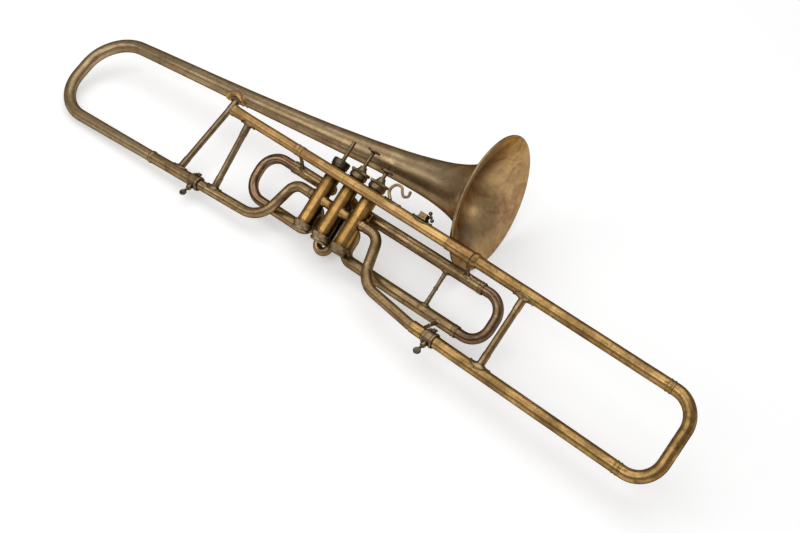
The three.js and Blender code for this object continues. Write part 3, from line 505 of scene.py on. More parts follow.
def aged_brass(name, tones, grime_and_shade=GRIME_AND_SHADE, tarnish=0.5, copper=0.0, roughness=(0.28, 0.5), blotch=1.0,
               edge=(0.07, 0.05, 0.03), dirt_and_shade_reach=9.0, dirt_and_shade_from=0.85, dirt_and_shade_full=0.2, stain=0.6,
               spread=0.15):
    """Old unlacquered brass: wide patches of tone, streaks along the horn, fine specks, and darkening in
    corners and between parts that is partly grime and partly painted shade.
    tones are bright, middle and dark, and edge is the tint that the metal takes where it turns away."""
    squeeze = 0.22  # of the streaks' pattern along the horn
    streak_share, mottle_share = 0.28, 0.24
    metallic = (1.0, 0.9)
    patch_low, patch_high = 0.35, 0.65
    clean_centre, tarnish_shift = 0.6, 0.2  # of the middle tone's place among the tones
    bright, middle, dark = (linear(tone) for tone in tones)
    grime_and_shade = linear(grime_and_shade)
    material, tree, shader = new_material(name)
    nodes, links = tree.nodes, tree.links
    coords = nodes.new("ShaderNodeTexCoord").outputs["Object"]
    stretch = nodes.new("ShaderNodeMapping")
    set_inputs(stretch, {"Scale": (squeeze, 1, 1)})
    links.new(coords, stretch.inputs["Vector"])
    drawn = stretch.outputs[0]
    patches = noise_node(tree, coords, scale=22 * blotch, detail=6, roughness=0.62, distortion=0.5)
    streaks = noise_node(tree, drawn, scale=130, detail=4, roughness=0.6)
    mottle = noise_node(tree, coords, scale=150 * blotch, detail=5, roughness=0.68, distortion=0.8)
    specks = noise_node(tree, coords, scale=520, detail=3, roughness=0.7)
    tone = mixed(tree, streak_share, patches, streaks)
    tone = mixed(tree, mottle_share, tone, mottle)
    centre = clean_centre - tarnish_shift * tarnish
    base = ramp_node(tree, tone, [
        (max(0.0, centre - spread), bright), (centre, middle), (min(1.0, centre + spread), dark)])
    if copper:
        blush = noise_node(tree, coords, scale=34, detail=4, roughness=0.55, distortion=1.2)
        where = fade(tree, blush, start=0.5, end=0.68, after=copper)
        base = mixed(tree, where, base, linear(COPPER))
    stains = fade(tree, mottle, start=0.58, end=0.7, after=stain)
    base = mixed(tree, stains, base, grime_and_shade)
    spots = fade(tree, specks, start=0.6, end=0.76, after=0.3)
    base = mixed(tree, spots, base, grime_and_shade)
    # painted shade: ambient occlusion darkens the colour towards the grime colour in corners and between
    # parts, standing partly for real grime at the joints
    corner = nodes.new("ShaderNodeAmbientOcclusion")
    corner.samples = 6
    set_inputs(corner, {"Distance": dirt_and_shade_reach * MM})
    dirt_and_shade = fade(tree, corner.outputs["AO"], start=dirt_and_shade_full, end=dirt_and_shade_from, before=0.95, after=0.0)
    base = mixed(tree, dirt_and_shade, base, grime_and_shade)
    links.new(base, shader.inputs["Base Color"])
    for socket, (low, high) in (("Roughness", roughness), ("Metallic", metallic)):
        ranged = nodes.new("ShaderNodeMapRange")
        set_inputs(ranged, {"From Min": patch_low, "From Max": patch_high, "To Min": low, "To Max": high})
        links.new(patches, ranged.inputs["Value"])
        links.new(ranged.outputs[0], shader.inputs[socket])
    set_inputs(shader, {"Specular Tint": (*edge, 1)})
    fine = noise_node(tree, drawn, scale=900, detail=3, roughness=0.6)
    bump = nodes.new("ShaderNodeBump")
    set_inputs(bump, {"Strength": 0.02, "Distance": 0.25 * MM})
    links.new(mixed(tree, 0.5, fine, specks), bump.inputs["Height"])
    links.new(bump.outputs[0], shader.inputs["Normal"])
    return material


LOOKS = {
    "golden_brass": dict(
        tones=((194, 157, 100), (144, 114, 69), (90, 70, 42)),
        tarnish=0.45, copper=0.35, roughness=(0.22, 0.36), blotch=1.2),
    # painted shade: the near-black grime colour and long occlusion reach darken the gaps between the casings,
    # where shade falls
    "casing_brass": dict(
        tones=((210, 164, 96), (168, 129, 73), (114, 87, 51)), grime_and_shade=(14, 11, 8),
        tarnish=0.42, copper=0.4, roughness=(0.22, 0.32), blotch=0.9, dirt_and_shade_reach=17.0, dirt_and_shade_from=0.96,
        dirt_and_shade_full=0.5, stain=0.25),
    "pipe_brass": dict(
        tones=((214, 172, 110), (170, 134, 84), (114, 88, 54)),
        tarnish=0.42, copper=0.4, roughness=(0.26, 0.42), blotch=0.9, stain=0.4, spread=0.18),
    "brown_brass": dict(
        tones=((180, 152, 112), (138, 115, 81), (90, 73, 49)),
        tarnish=0.48, copper=0.25, roughness=(0.22, 0.44), blotch=1.2),
    "copper_brass": dict(
        tones=((162, 133, 104), (124, 100, 77), (82, 65, 50)),
        copper=0.3, roughness=(0.16, 0.32), blotch=1.2),
    "dark_metal": dict(
        tones=((122, 112, 91), (82, 75, 60), (48, 43, 35)), grime_and_shade=(22, 20, 16),
        copper=0.15, roughness=(0.22, 0.38), stain=0.35),
    "fitting_brass": dict(
        tones=((174, 152, 117), (130, 111, 84), (84, 71, 53)), grime_and_shade=(30, 24, 17),
        tarnish=0.48, copper=0.3, roughness=(0.22, 0.38), blotch=0.8, stain=0.25, spread=0.18),
    "plated_steel": dict(
        tones=((190, 190, 188), (160, 160, 160), (120, 120, 120)), grime_and_shade=(60, 58, 54),
        tarnish=0.4, roughness=(0.25, 0.4), edge=(0.8, 0.8, 0.8)),
    "bell_brass": dict(
        tones=((200, 173, 134), (157, 135, 102), (108, 90, 65)),
        tarnish=0.42, copper=0.35, roughness=(0.26, 0.38), blotch=0.8, stain=0.3, spread=0.2),
    "bell_lining": dict(
        tones=((206, 170, 116), (178, 147, 106), (138, 126, 104)), grime_and_shade=(108, 84, 60),
        tarnish=0.46, copper=0.8, roughness=(0.36, 0.46), blotch=0.6, stain=0.25, spread=0.16),
}
MATERIALS = {name: aged_brass(name, **look) for name, look in LOOKS.items()}


# Pieces
def placed(name, data):
    """A new object of the scene."""
    obj = bpy.data.objects.new(name, data)
    bpy.context.scene.collection.objects.link(obj)
    return obj


def piece(name, shape, material, node=None, body="root", lining=None):
    """Makes a piece from points in millimetres in the horn's frame, and lets it stand for a frame node.
    lining is a second material and the face from which it starts."""
    weld = 0.001 * MM
    verts, faces = shape
    mesh = bpy.data.meshes.new(name)
    mesh.from_pydata([tuple(v) for v in np.asarray(verts) * MM], [], faces)
    mesh.transform(HORN)
    mesh.materials.append(MATERIALS[material])
    if lining:
        mesh.materials.append(MATERIALS[lining[0]])
        for face in mesh.polygons[lining[1]:]:
            face.material_index = 1
    bm = bmesh.new()
    bm.from_mesh(mesh)
    bmesh.ops.remove_doubles(bm, verts=bm.verts[:], dist=weld)
    bmesh.ops.dissolve_degenerate(bm, edges=bm.edges[:], dist=weld)
    bmesh.ops.recalc_face_normals(bm, faces=bm.faces[:])
    for edge in bm.edges:
        edge.smooth = edge.calc_face_angle(0.0) < SHARP
    for face in bm.faces:
        face.smooth = True
    bm.to_mesh(mesh)
    bm.free()
    obj = placed(name, mesh)
    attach(obj, body)
    if node:
        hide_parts(node)
    return obj


def bell_pieces():
    """The bell's shell with its wired rim. Its inside has a material of its own."""
    wall, wire, wire_ahead = 0.9, 1.6, 0.4
    rows, crowding, sides = 46, 2.1, 128
    stations = [BELL_LENGTH * (k / rows) ** crowding for k in range(rows + 1)]
    outer = [(bell_radius(s), BELL_LENGTH - s) for s in stations[::-1]]
    roll = [(RIM_RADIUS + wire * math.sin(a), BELL_LENGTH + wire_ahead - wire * math.cos(a))
            for a in np.linspace(-0.6, math.pi + 0.3, 12)]
    inner = [(bell_radius(s) - wall, BELL_LENGTH - s + wall * (1 - s / BELL_LENGTH)) for s in stations]
    inner[-1] = (inner[-1][0], 0)
    outline = outer[:-1] + roll + inner[1:]
    points, faces = turned(BELL_TAIL, BELL_WAY, outline, sides, fillet=0, wear=0.16, seed=3.0)
    shares = (points - BELL_TAIL) @ unit(BELL_WAY) / BELL_LENGTH
    points = points - np.outer(bell_drop(shares), UP)
    lining_row = len(outer) + len(roll) - 3
    piece("bell_shell", (points, faces), "bell_brass", "bell", lining=("bell_lining", lining_row * sides))


def back_bow():
    """The narrowing bow behind the bell, and the straight tube that it meets."""
    bow_top, bow_foot, bend, end_radius, end_bore = -520, -501, 60, 7.9, 7.1
    corners = [BELL_TAIL - unit(BELL_WAY) * GAP, bell_at(bow_top), left_at(bow_foot),
               left_at(BELL_TUBE_START - GAP)]
    radii = (float(bell_radius(BELL_LENGTH)), end_radius)
    bow = bent_tube(corners, [bend, bend], radii, end_bore, seed=1.0)
    piece("back_bow_tube", bow, "bell_brass", "back_bow")
    tube_bore, ring_length = 7.5, 5
    start = left_at(BELL_TUBE_START)
    tube = straight_tube(start, left_at(BELL_TUBE_END), BELL_TUBE, tube_bore, seed=2.0)
    ring_outline = [(7.8, 0), (8.6, 0), (9.1, 1.2), (9.1, 3.6), (8.5, ring_length), (7.8, ring_length)]
    ring = turned(start, LEFT_WAY, ring_outline)
    piece("lower_bell_tube_drawn", joined(tube, ring), "brown_brass", "lower_bell_tube")


def leadpipe():
    """The mouthpiece receiver and the widening leadpipe."""
    length, bore = LEADPIPE_START - RECEIVER_START - GAP, 6.3
    receiver_outline = [
        (bore, 0), (7.7, 0), (8.5, 1), (8.5, 3.4), (7.9, 5), (7.7, 8), (7.5, 16), (PIPE, 30), (PIPE, 60),
        (PIPE, 92), (PIPE, 119), (7.75, 120), (7.75, 122), (7.3, 123), (7.3, 126), (RECEIVER_RING, 126.6),
        (RECEIVER_RING, 131.2), (7.4, length), (bore, length)]
    shape = turned(at(RECEIVER_START, 0, 0), ALONG, receiver_outline, wear=0.12, seed=15.0)
    piece("receiver_turned", shape, "pipe_brass", "mouthpiece_receiver")
    length, rows, sides = LEADPIPE_END - LEADPIPE_START, 30, 56
    wall = [(PIPE + LEADPIPE_WIDENING * k / rows, length * k / rows) for k in range(rows + 1)]
    outline = [(BORE, 0), *wall, (BORE, length)]
    tube = turned(at(LEADPIPE_START, 0, 0), ALONG, outline, sides, fillet=0, wear=0.14, seed=4.0)
    mark_places, mark_start_radius = (-3, 16), PIPE + 0.2
    marks = []
    for x in mark_places:
        radius = mark_start_radius + LEADPIPE_WIDENING * (x - LEADPIPE_START) / length
        marks.append(bead(at(x, 0, 0), ALONG, radius, width=1.4, rise=0.35))
    piece("leadpipe_drawn", joined(tube, *marks), "pipe_brass", "leadpipe")


def inner_slides():
    """The two tubes that the front slide runs on, and the ferrules that hold them."""
    start, seat, step, length = 168, 8.1, 9.3, 39.6
    outline = [
        (seat, 0), (FERRULE, 0), (FERRULE, length), (SLEEVE_BORE, length), (SLEEVE_BORE, step), (seat, step)]
    shape = turned(slide_at(start), SLIDE_WAY, outline)
    piece("leadpipe_ferrule_turned", shape, "golden_brass", "leadpipe_ferrule")
    for label, inner_start, z in (("upper", LEADPIPE_END, 0), ("lower", RIGHT_PIPE_END, -SLIDE_SPACING)):
        tube = straight_tube(slide_at(inner_start + GAP, z), slide_at(INNER_SLIDE_END, z), INNER_SLIDE, BORE)
        piece(f"{label}_inner_drawn", tube, "golden_brass", f"{label}_inner_tube")
    start, seat, length = 189, PIPE + GAP, 18.6
    outline = [(seat, 0), (CUFF, 0), (CUFF, length), (seat, length)]
    shape = turned(lower_at(start), SLIDE_WAY, outline)
    piece("lower_ferrule_turned", shape, "golden_brass", "lower_slide_ferrule")


def front_slide():
    """The outer tubes of the front slide, its bow and its brace."""
    body = "front_slide"
    collar_outline = [(7.6, 0), (9.0, 0), (9.8, 1.6), (9.8, 4.6), (9.0, 7.2), (8.1, 9)]
    collar = turned(slide_at(SLIDE_START), SLIDE_WAY, collar_outline, fillet=1.4)
    for label, z, collars, seed in (("upper", 0, [collar], 5.0), ("lower", -SLIDE_SPACING, [], 6.0)):
        tube = straight_tube(slide_at(SLIDE_START, z), slide_at(SLIDE_END, z), SLEEVE, SLEEVE_BORE, seed)
        ends = [bead(slide_at(SLIDE_END - back, z), SLIDE_WAY, SLEEVE, width=2.0, rise=0.75)
                for back in (8, 3)]
        shape = joined(tube, *collars, *ends)
        piece(f"{label}_slide_drawn", shape, "golden_brass", f"{label}_slide_tube", body)
    bow_reach, bend, brace_place = 537, 33.8, 291
    start = SLIDE_END + GAP
    corners = [slide_at(start), slide_at(bow_reach), lower_at(bow_reach), lower_at(start)]
    bow = bent_tube(corners, [bend, bend], SLEEVE, SLEEVE_BORE, seed=7.0)
    piece("front_bow_drawn", bow, "golden_brass", "front_bow", body)
    low, high = lower_at(brace_place), slide_at(brace_place)
    shape = brace(low, high, SLEEVE, SLEEVE, SLIDE_WAY, SLIDE_WAY, foot=(16, 11))
    piece("slide_brace_turned", shape, "brown_brass", "slide_brace", body)


def bar_between(a, b, seat_a, seat_b):
    """The direction of a bar between two tubes, and where it starts and ends, sunk a little into both."""
    sunk = 1
    return unit(b - a), seat_a - sunk, float(np.linalg.norm(b - a)) - seat_b + sunk


def brace(a, b, seat_a, seat_b, along_a, along_b, foot=(13, 9)):
    """A brace tube with a thicker sleeve and a saddle at each end. seat_a and seat_b are the radii of the
    tubes that it joins, and foot is half a saddle's length and width."""
    rod, sleeve, sleeve_length = 4.6, 5.1, 17
    rod_start = sleeve_length + 0.6
    way, start, end = bar_between(a, b, seat_a, seat_b)
    half = [(0, start), (sleeve, start), (sleeve, start + sleeve_length), (rod, start + rod_start)]
    bar = turned(a, way, mirrored(half, (start + end) / 2), sides=40, fillet=0.3, wear=0.1, seed=16.0)
    feet = [saddle(place, along, out, seat, *foot, thickness=1.1, neck=sleeve, neck_rise=1.6)
            for place, along, out, seat in ((a, along_a, way, seat_a), (b, along_b, -way, seat_b))]
    return joined(bar, *feet)


def braces():
    """The brace between the bell and the lower tube, and the one from there to the leadpipe."""
    bell_brace_foot, bell_brace_top = -249, -262
    leadpipe_brace_foot, leadpipe_brace_top = -181, -177
    foot, top = left_at(bell_brace_foot), bell_at(bell_brace_top)
    seat = bell_radius(float(np.linalg.norm(top - BELL_RIM)))
    shape = brace(foot, top, BELL_TUBE, seat, LEFT_WAY, BELL_WAY)
    piece("bell_brace_turned", shape, "fitting_brass", "bell_brace")
    plate = saddle(top, BELL_WAY, foot - top, seat, half_length=20, half_width=16, thickness=1.0,
                   ridges=(0.6, 0.92), ridge_height=1.5)
    piece("bell_brace_plate", plate, "pipe_brass")
    foot, top = left_at(leadpipe_brace_foot), at(leadpipe_brace_top, 0, 0)
    shape = brace(foot, top, PIPE, PIPE, LEFT_WAY, ALONG)
    piece("leadpipe_brace_turned", shape, "fitting_brass", "leadpipe_brace")


def post(name, node, a, b, seat_a, seat_b, radius):
    """A short turned post between two tubes along the horn, with a small saddle at each end."""
    waist, knob, collar, collar_length = radius * 0.86, radius + 0.7, radius + 1.2, 4
    half_knob = 1.5
    way, start, end = bar_between(a, b, seat_a, seat_b)
    middle = (start + end) / 2
    half = [(0, start), (collar, start), (radius, start + collar_length), (waist, middle - half_knob),
            (knob, middle)]
    bar = turned(a, way, mirrored(half, middle), sides=32, fillet=0.8)
    feet = [saddle(place, ALONG, out, seat, half_length=radius + 4.2, half_width=radius + 3, thickness=0.9,
                   neck=radius + 0.6, neck_rise=0.8, ridges=())
            for place, out, seat in ((a, way, seat_a), (b, -way, seat_b))]
    piece(name, joined(bar, *feet), "fitting_brass", node)


def posts():
    """The posts and the brace that hold the first and third slides."""
    first, third, brace, stay = -86, 200, 169, 198.2
    slim, stout = 2.4, 3.0
    low = THIRD_LEVEL - THIRD_SPACING
    for name, a, b, seat, radius in (
            ("first_slide_post", at(first, 0, 0), rear_at(first, FIRST_LEVEL), RECEIVER_RING, slim),
            ("third_slide_post", at(third, 0, 0), rear_at(third, THIRD_LEVEL), FERRULE, slim),
            ("third_slide_brace", rear_at(brace, THIRD_LEVEL), rear_at(brace, low), SLEEVE, stout),
            ("third_slide_stay", lower_at(stay), rear_at(stay, low), CUFF, slim)):
        post(name.replace("_slide", "") + "_turned", name, a, b, seat, SLEEVE, radius)


def knuckles():
    """The short pipes between neighbouring casings."""
    lip, lip_bore, root = 8.2, 5.8, 6.9
    reach = math.sqrt(CASING ** 2 - KNUCKLE ** 2)
    half = [(lip_bore, reach), (lip, reach), (root, CASING + 0.6), (KNUCKLE, CASING + 1.4)]
    for number in (1, 2):
        start = valve_at(number, KNUCKLE_LEVEL)
        shape = turned(start, ALONG, mirrored(half, PITCH / 2), sides=48, fillet=0.5)
        piece(f"knuckle_{number}_turned", shape, "pipe_brass", f"knuckle_{number}_{number + 1}")


def double_bends():
    """The pipes from the outer casings to the bell section and to the front slide. Each leaves its casing
    level and then drops."""
    casing_side, sunk = PITCH + CASING, 2.4
    cuff_place, cuff_radius = casing_side + 1.5, PIPE - 0.1
    left_drop, left_foot = -75, -94.5
    right_drop, right_foot, right_level, right_low = 72, 92, -100, 184

    def level_at(x):
        return at(x, DEPTH, KNUCKLE_LEVEL)

    corners = [level_at(-casing_side + sunk), level_at(left_drop), left_at(left_foot), left_at(LEFT_PIPE_END)]
    tube = bent_tube(corners, [18, 40], PIPE, BORE, seed=8.0)
    cuff = bead(level_at(-cuff_place), ALONG, cuff_radius, width=6, rise=1.0)
    piece("left_bend_drawn", joined(tube, cuff), "brown_brass", "left_s_bend")
    corners = [level_at(casing_side - sunk), level_at(right_drop), at(right_foot, DEPTH / 2, right_level),
               lower_at(right_low), lower_at(RIGHT_PIPE_END)]
    tube = bent_tube(corners, [20, 36, 36], PIPE, BORE, seed=9.0)
    cuff = bead(level_at(cuff_place), ALONG, cuff_radius, width=6, rise=1.0)
    ring = bead(level_at(casing_side + 9), ALONG, PIPE, width=1.6, rise=0.5)
    shape = joined(tube, cuff, ring)
    piece("right_bend_drawn", shape, "brown_brass", "right_s_bend")


def valve_slide(number, side, level, spacing, legs_end, inner_end, reach, bend):
    """The legs of the first or third slide, and the bow with the inner tubes that slide in them."""
    x, low, drop_bend = side * PITCH, level - spacing, 14
    upper = [at(x, DEPTH + PORT_REACH, level), rear_at(x, level), rear_at(legs_end, level)]
    lower = [at(x, DEPTH + PORT_REACH, LOW_PORT), rear_at(x, LOW_PORT), rear_at(x, low),
             rear_at(legs_end, low)]
    for label, corners, bends, z in (
            ("upper", upper, [PORT_BEND], level), ("lower", lower, [PORT_BEND, drop_bend], low)):
        tube = bent_tube(corners, bends, SLEEVE, SLEEVE_BORE, seed=10.0 + z)
        cuffs = [bead(rear_at(legs_end - side * back, z), ALONG * side, SLEEVE, width=2.0, rise=0.7)
                 for back in (2, 6)]
        piece(f"{number}_slide_{label}_drawn", joined(tube, *cuffs), "brown_brass",
              f"{number}_slide_{label}_leg")
    corners = [rear_at(inner_end, level), rear_at(reach, level), rear_at(reach, low), rear_at(inner_end, low)]
    shape = bent_tube(corners, [bend, bend], INNER_SLIDE, BORE, seed=12.0 + bend)
    piece(f"{number}_bow_drawn", shape, "copper_brass", f"{number}_slide_bow", f"{number}_slide")


def second_slide():
    """The short slide behind the middle valve, which points down."""
    leg, leg_bore, bow, bow_bore, bend = 7.0, 6.3, 6.0, 5.4, 9.35
    leg_end, cuff_level, bow_top, bow_low = -86, -84, -64, -97
    for label, side, port in (("right", 1, -20), ("left", -1, -50)):
        x = SECOND_MIDDLE + side * SECOND_HALF_SPACING
        corners = [at(0, DEPTH + PORT_REACH, port), rear_at(x, port), rear_at(x, leg_end)]
        tube = bent_tube(corners, [PORT_BEND], leg, leg_bore, seed=13.0 + x)
        shape = joined(tube, bead(rear_at(x, cuff_level), UP, leg, width=2.0, rise=0.6))
        piece(f"second_slide_{label}_drawn", shape, "brown_brass", f"second_slide_{label}_leg")
    right, left = SECOND_MIDDLE + SECOND_HALF_SPACING, SECOND_MIDDLE - SECOND_HALF_SPACING
    corners = [rear_at(right, bow_top), rear_at(right, bow_low), rear_at(left, bow_low),
               rear_at(left, bow_top)]
    shape = bent_tube(corners, [bend, bend], bow, bow_bore, seed=14.0)
    piece("second_bow_drawn", shape, "brown_brass", "second_slide_bow", "second_slide")


def valve_slides():
    valve_slide("first", -1, FIRST_LEVEL, FIRST_SPACING, legs_end=-105, inner_end=-55, reach=-149, bend=28)
    valve_slide("third", 1, THIRD_LEVEL, THIRD_SPACING, legs_end=226, inner_end=116, reach=260, bend=26)
    second_slide()


def on_valve(number, outline, sides, base=0, **details):
    """A piece turned about a valve's axis, from an outline of radii and heights above the base."""
    return turned(valve_at(number, base), UP, outline, sides, **details)


def casing(number):
    rows, sides, wear = 12, 96, 0.06
    length = CASING_TOP - CASING_BOTTOM
    walls = [(CASING, CASING_BOTTOM + length * k / rows) for k in range(rows + 1)]
    outline = [(CASING_BORE, CASING_BOTTOM), *walls, (CASING_BORE, CASING_TOP)]
    tube = on_valve(number, outline, sides, fillet=0, wear=wear, seed=19.0 + number)
    band_levels = (7.6, -73)
    bands = [bead(valve_at(number, level), UP, CASING, width=1.6, rise=0.5) for level in band_levels]
    piece(f"casing_{number}_drawn", joined(tube, *bands), "casing_brass", f"casing_{number}")


def top_cap(number):
    """The first valve has a plain cap, and the others have one with a knurled flange and a tall neck."""
    hole, ceiling, foot, groove = 3, 18.5, 9.4, 11.6
    if number == 1:
        outside = [
            (hole, 20.5), (4.4, 20.5), (4.6, 20), (9.8, 19.8), (11.4, 19.2), (CAP, 17.9), (CAP, 12.4),
            (groove, 11.8), (groove, 11.2), (CAP, 10.6)]
        sides, knurl, material = 192, None, "dark_metal"
    else:
        flange, neck_top, waist = 13.6, 27, 11.7
        outside = [
            (hole, neck_top), (4.1, neck_top), (4.8, 26.4), (5.0, 24.6), (5.5, 23.2), (6.6, 21.8),
            (7.2, 20.5), (8.2, 20.3), (12.8, 20.3), (flange, 19.6), (flange, 17.2), (12.8, 16.4),
            (waist, 16.1), (waist, 14.9), (CAP, 14.3)]
        sides, knurl, material = 240, (16.4, 20.4, 48, 0.6), "fitting_brass"
    outline = [(hole, ceiling), *outside, (CAP, foot), (CAP_BORE, foot), (CAP_BORE, ceiling)]
    shape = on_valve(number, outline, sides, fillet=0.5, knurl=knurl)
    piece(f"top_cap_{number}_knurled", shape, material, f"top_cap_{number}")


def bottom_cap(number):
    foot, floor, mouth, groove, step, flange = -88.5, -86.5, -75.5, 11.6, 12.3, 13.0
    outline = [
        (0, foot), (2.4, foot), (2.9, -88.0), (8.6, -88.0), (9.2, foot), (10.6, -88.2), (11.8, -87.0),
        (CAP, -85.6), (groove, -84.8), (groove, -83.8), (step, -82.8), (step, -81.6), (flange, -80.9),
        (flange, -76.3), (12.4, mouth), (CAP_BORE, mouth), (CAP_BORE, floor), (0, floor)]
    shape = on_valve(number, outline, sides=240, knurl=(-80.9, -76.2, 48, 0.35))
    piece(f"bottom_cap_{number}_knurled", shape, "fitting_brass", f"bottom_cap_{number}")


def stem_and_button(number):
    """A valve's stem and button ride on its piston. The first valve has lost its button."""
    body = f"valve_{number}"
    down = THIRD_DOWN if number == 3 else 0
    plug, stem, slim, top = 5, 2.7, 2.4, 49
    stem_outline = [
        (0, 2.3), (plug, 2.3), (plug, 18.2), (stem, 18.2), (stem, 28), (slim, 29.5), (slim, 34), (stem, 35.5),
        (stem, 48.6), (2.3, top), (0, top)]
    shape = on_valve(number, stem_outline, sides=32, base=-down)
    piece(f"stem_{number}_turned", shape, "fitting_brass", f"stem_{number}", body)
    if number == 1:
        return
    button_outline = [
        (0, 48), (3.6, 48), (3.2, 49.1), (7.6, 49.2), (8.8, 49.9), (9.2, 51), (8.9, 52), (7.8, 52.4),
        (4, 51.9), (0, 51.7)]
    shape = on_valve(number, button_outline, sides=56, base=-down, fillet=0.3)
    piece(f"button_{number}_turned", shape, "fitting_brass", f"finger_button_{number}", body)


def valves():
    for number in (1, 2, 3):
        casing(number)
        top_cap(number)
        bottom_cap(number)
        stem_and_button(number)


def springs():
    """A steel spring under each piston. The first two reach up to their pistons and get meshes of their own,
    and the third, whose valve is down already, is wound short to leave room for the rest of the way."""
    wire, coil, turns, foot, piston_foot = 0.4, 7.4, 4, -86.2, -66
    pressed = piston_foot - VALVE_TRAVEL - GAP
    angles = np.linspace(0, 2 * math.pi * turns, 36 * turns + 1)
    for number in (1, 2, 3):
        top = pressed if number == 3 else piston_foot - GAP
        heights = np.linspace(foot + wire, top - wire, len(angles))
        circle = np.stack((coil * np.cos(angles), coil * np.sin(angles), heights), axis=1)
        shape = round_wire(valve_at(number, 0) + circle, wire, sides=10)
        spring = piece(f"valve_spring_{number}_wound", shape, "plated_steel", f"valve_spring_{number}")
        if number != 3:
            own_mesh(spring)


def pistons():
    """The pistons keep their frame meshes inside the casings."""
    for name, obj in frame["nodes"].items():
        if name.startswith("piston"):
            obj.data.materials.clear()
            obj.data.materials.append(MATERIALS["plated_steel"])


def thumb_screw(label, start, way, across):
    """A screw with a flat round wing, as on the slide clamps."""
    shaft, wing, wing_place = 1.9, 5, 15.7
    shaft_outline = [
        (0, 0), (shaft, 0), (shaft, 5.4), (2.5, 5.6), (2.5, 7.4), (1.7, 8.4), (2.1, 11), (0, 11)]
    bar = turned(start, way, shaft_outline, sides=28, fillet=0.3)
    half = [(0, -1.3), (3.2, -1.3), (4.3, -1.7), (wing, -0.9)]
    disc = turned(start + way * wing_place, across, mirrored(half, 0), sides=40, fillet=0.5)
    piece(f"{label}_screw_turned", joined(bar, disc), "dark_metal", f"{label}_clamp_screw",
          f"{label}_thumb_screw")


def clamp(label, body, middle, along, tube_radius):
    """A clamp's collar, with the boss of its screw below it and two small lugs on top, and the screw."""
    tilt = math.radians(35)
    ear_back = 5
    along = unit(along)
    down = -np.cross(along, BACK)
    way = down * math.cos(tilt) - BACK * math.sin(tilt)
    bore = tube_radius + GAP
    outer = bore + 2
    waist, sunk = outer - 0.7, bore + 1
    half_band = [(bore, -8), (outer - 0.5, -8), (outer, -7), (outer, -4.5), (waist, -3.8)]
    boss_outline = [(2.2, sunk), (4, sunk), (4, outer + 4.2), (3.4, outer + 5), (2.2, outer + 5)]
    lug_outline = [
        (0, sunk), (2.4, sunk), (2.4, outer + 0.8), (3.2, outer + 1.4), (3.2, outer + 2.9),
        (2.5, outer + 3.4), (0, outer + 3.4)]
    ear_outline = [(0, sunk), (1.9, sunk), (1.9, outer + 1.2), (0, outer + 1.6)]
    ring = turned(middle, along, mirrored(half_band, 0), sides=56, fillet=0.3)
    boss = turned(middle, way, boss_outline, sides=32)
    lug = turned(middle, -down, lug_outline, sides=28)
    ear = turned(middle - along * ear_back, -down, ear_outline, sides=24)
    shape = joined(ring, boss, lug, ear)
    piece(f"{label}_collar_cast", shape, "fitting_brass", f"{label}_clamp_collar", body)
    start = middle + way * (tube_radius + 2 * GAP)
    thumb_screw(label, start, way, unit(np.cross(way, along)))


def clamps():
    left, right = -213, 218
    clamp("left", "root", left_at(left), LEFT_WAY, BELL_TUBE)
    clamp("right", "front_slide", lower_at(right), SLIDE_WAY, SLEEVE)


def finger_hook():
    """A bent wire on a saddle, with a small ball at its tip."""
    middle, base, width, height, seat = 72, 9.9, 26, 20, 7.55
    hook_shares = [
        (-0.16, -0.1), (-0.43, 0.25), (-0.46, 0.6), (-0.28, 0.92), (0.02, 0.94), (0.19, 0.68), (0.38, 0.5),
        (0.58, 0.66), (0.56, 0.92)]
    knots = [at(middle + a * width, 0, base + u * height) for a, u in hook_shares]
    steps, taper_steps = 8, 30
    points = []
    for i in range(len(knots) - 1):
        p0, p1 = knots[max(i - 1, 0)], knots[i]
        p2, p3 = knots[i + 1], knots[min(i + 2, len(knots) - 1)]
        for k in range(steps):
            t = k / steps
            points.append(0.5 * ((2 * p1) + (p2 - p0) * t + (2 * p0 - 5 * p1 + 4 * p2 - p3) * t * t
                                 + (3 * p1 - p0 - 3 * p2 + p3) * t ** 3))
    points = np.array([*points, knots[-1]])
    thick, thin, tip_radius = 2.3, 1.8, 1.75
    radii = np.concatenate((
        np.linspace(thick, thin, taper_steps), np.linspace(thin, tip_radius, len(points) - taper_steps)))
    wire = round_wire(points, radii, sides=20)
    tip = ball(points[-1], 2.2)
    plate = saddle(at(middle, 0, 0), ALONG, UP, seat, half_length=14, half_width=8.5, thickness=1.0)
    piece("finger_hook_bent", joined(wire, tip, plate), "brown_brass", "finger_hook")


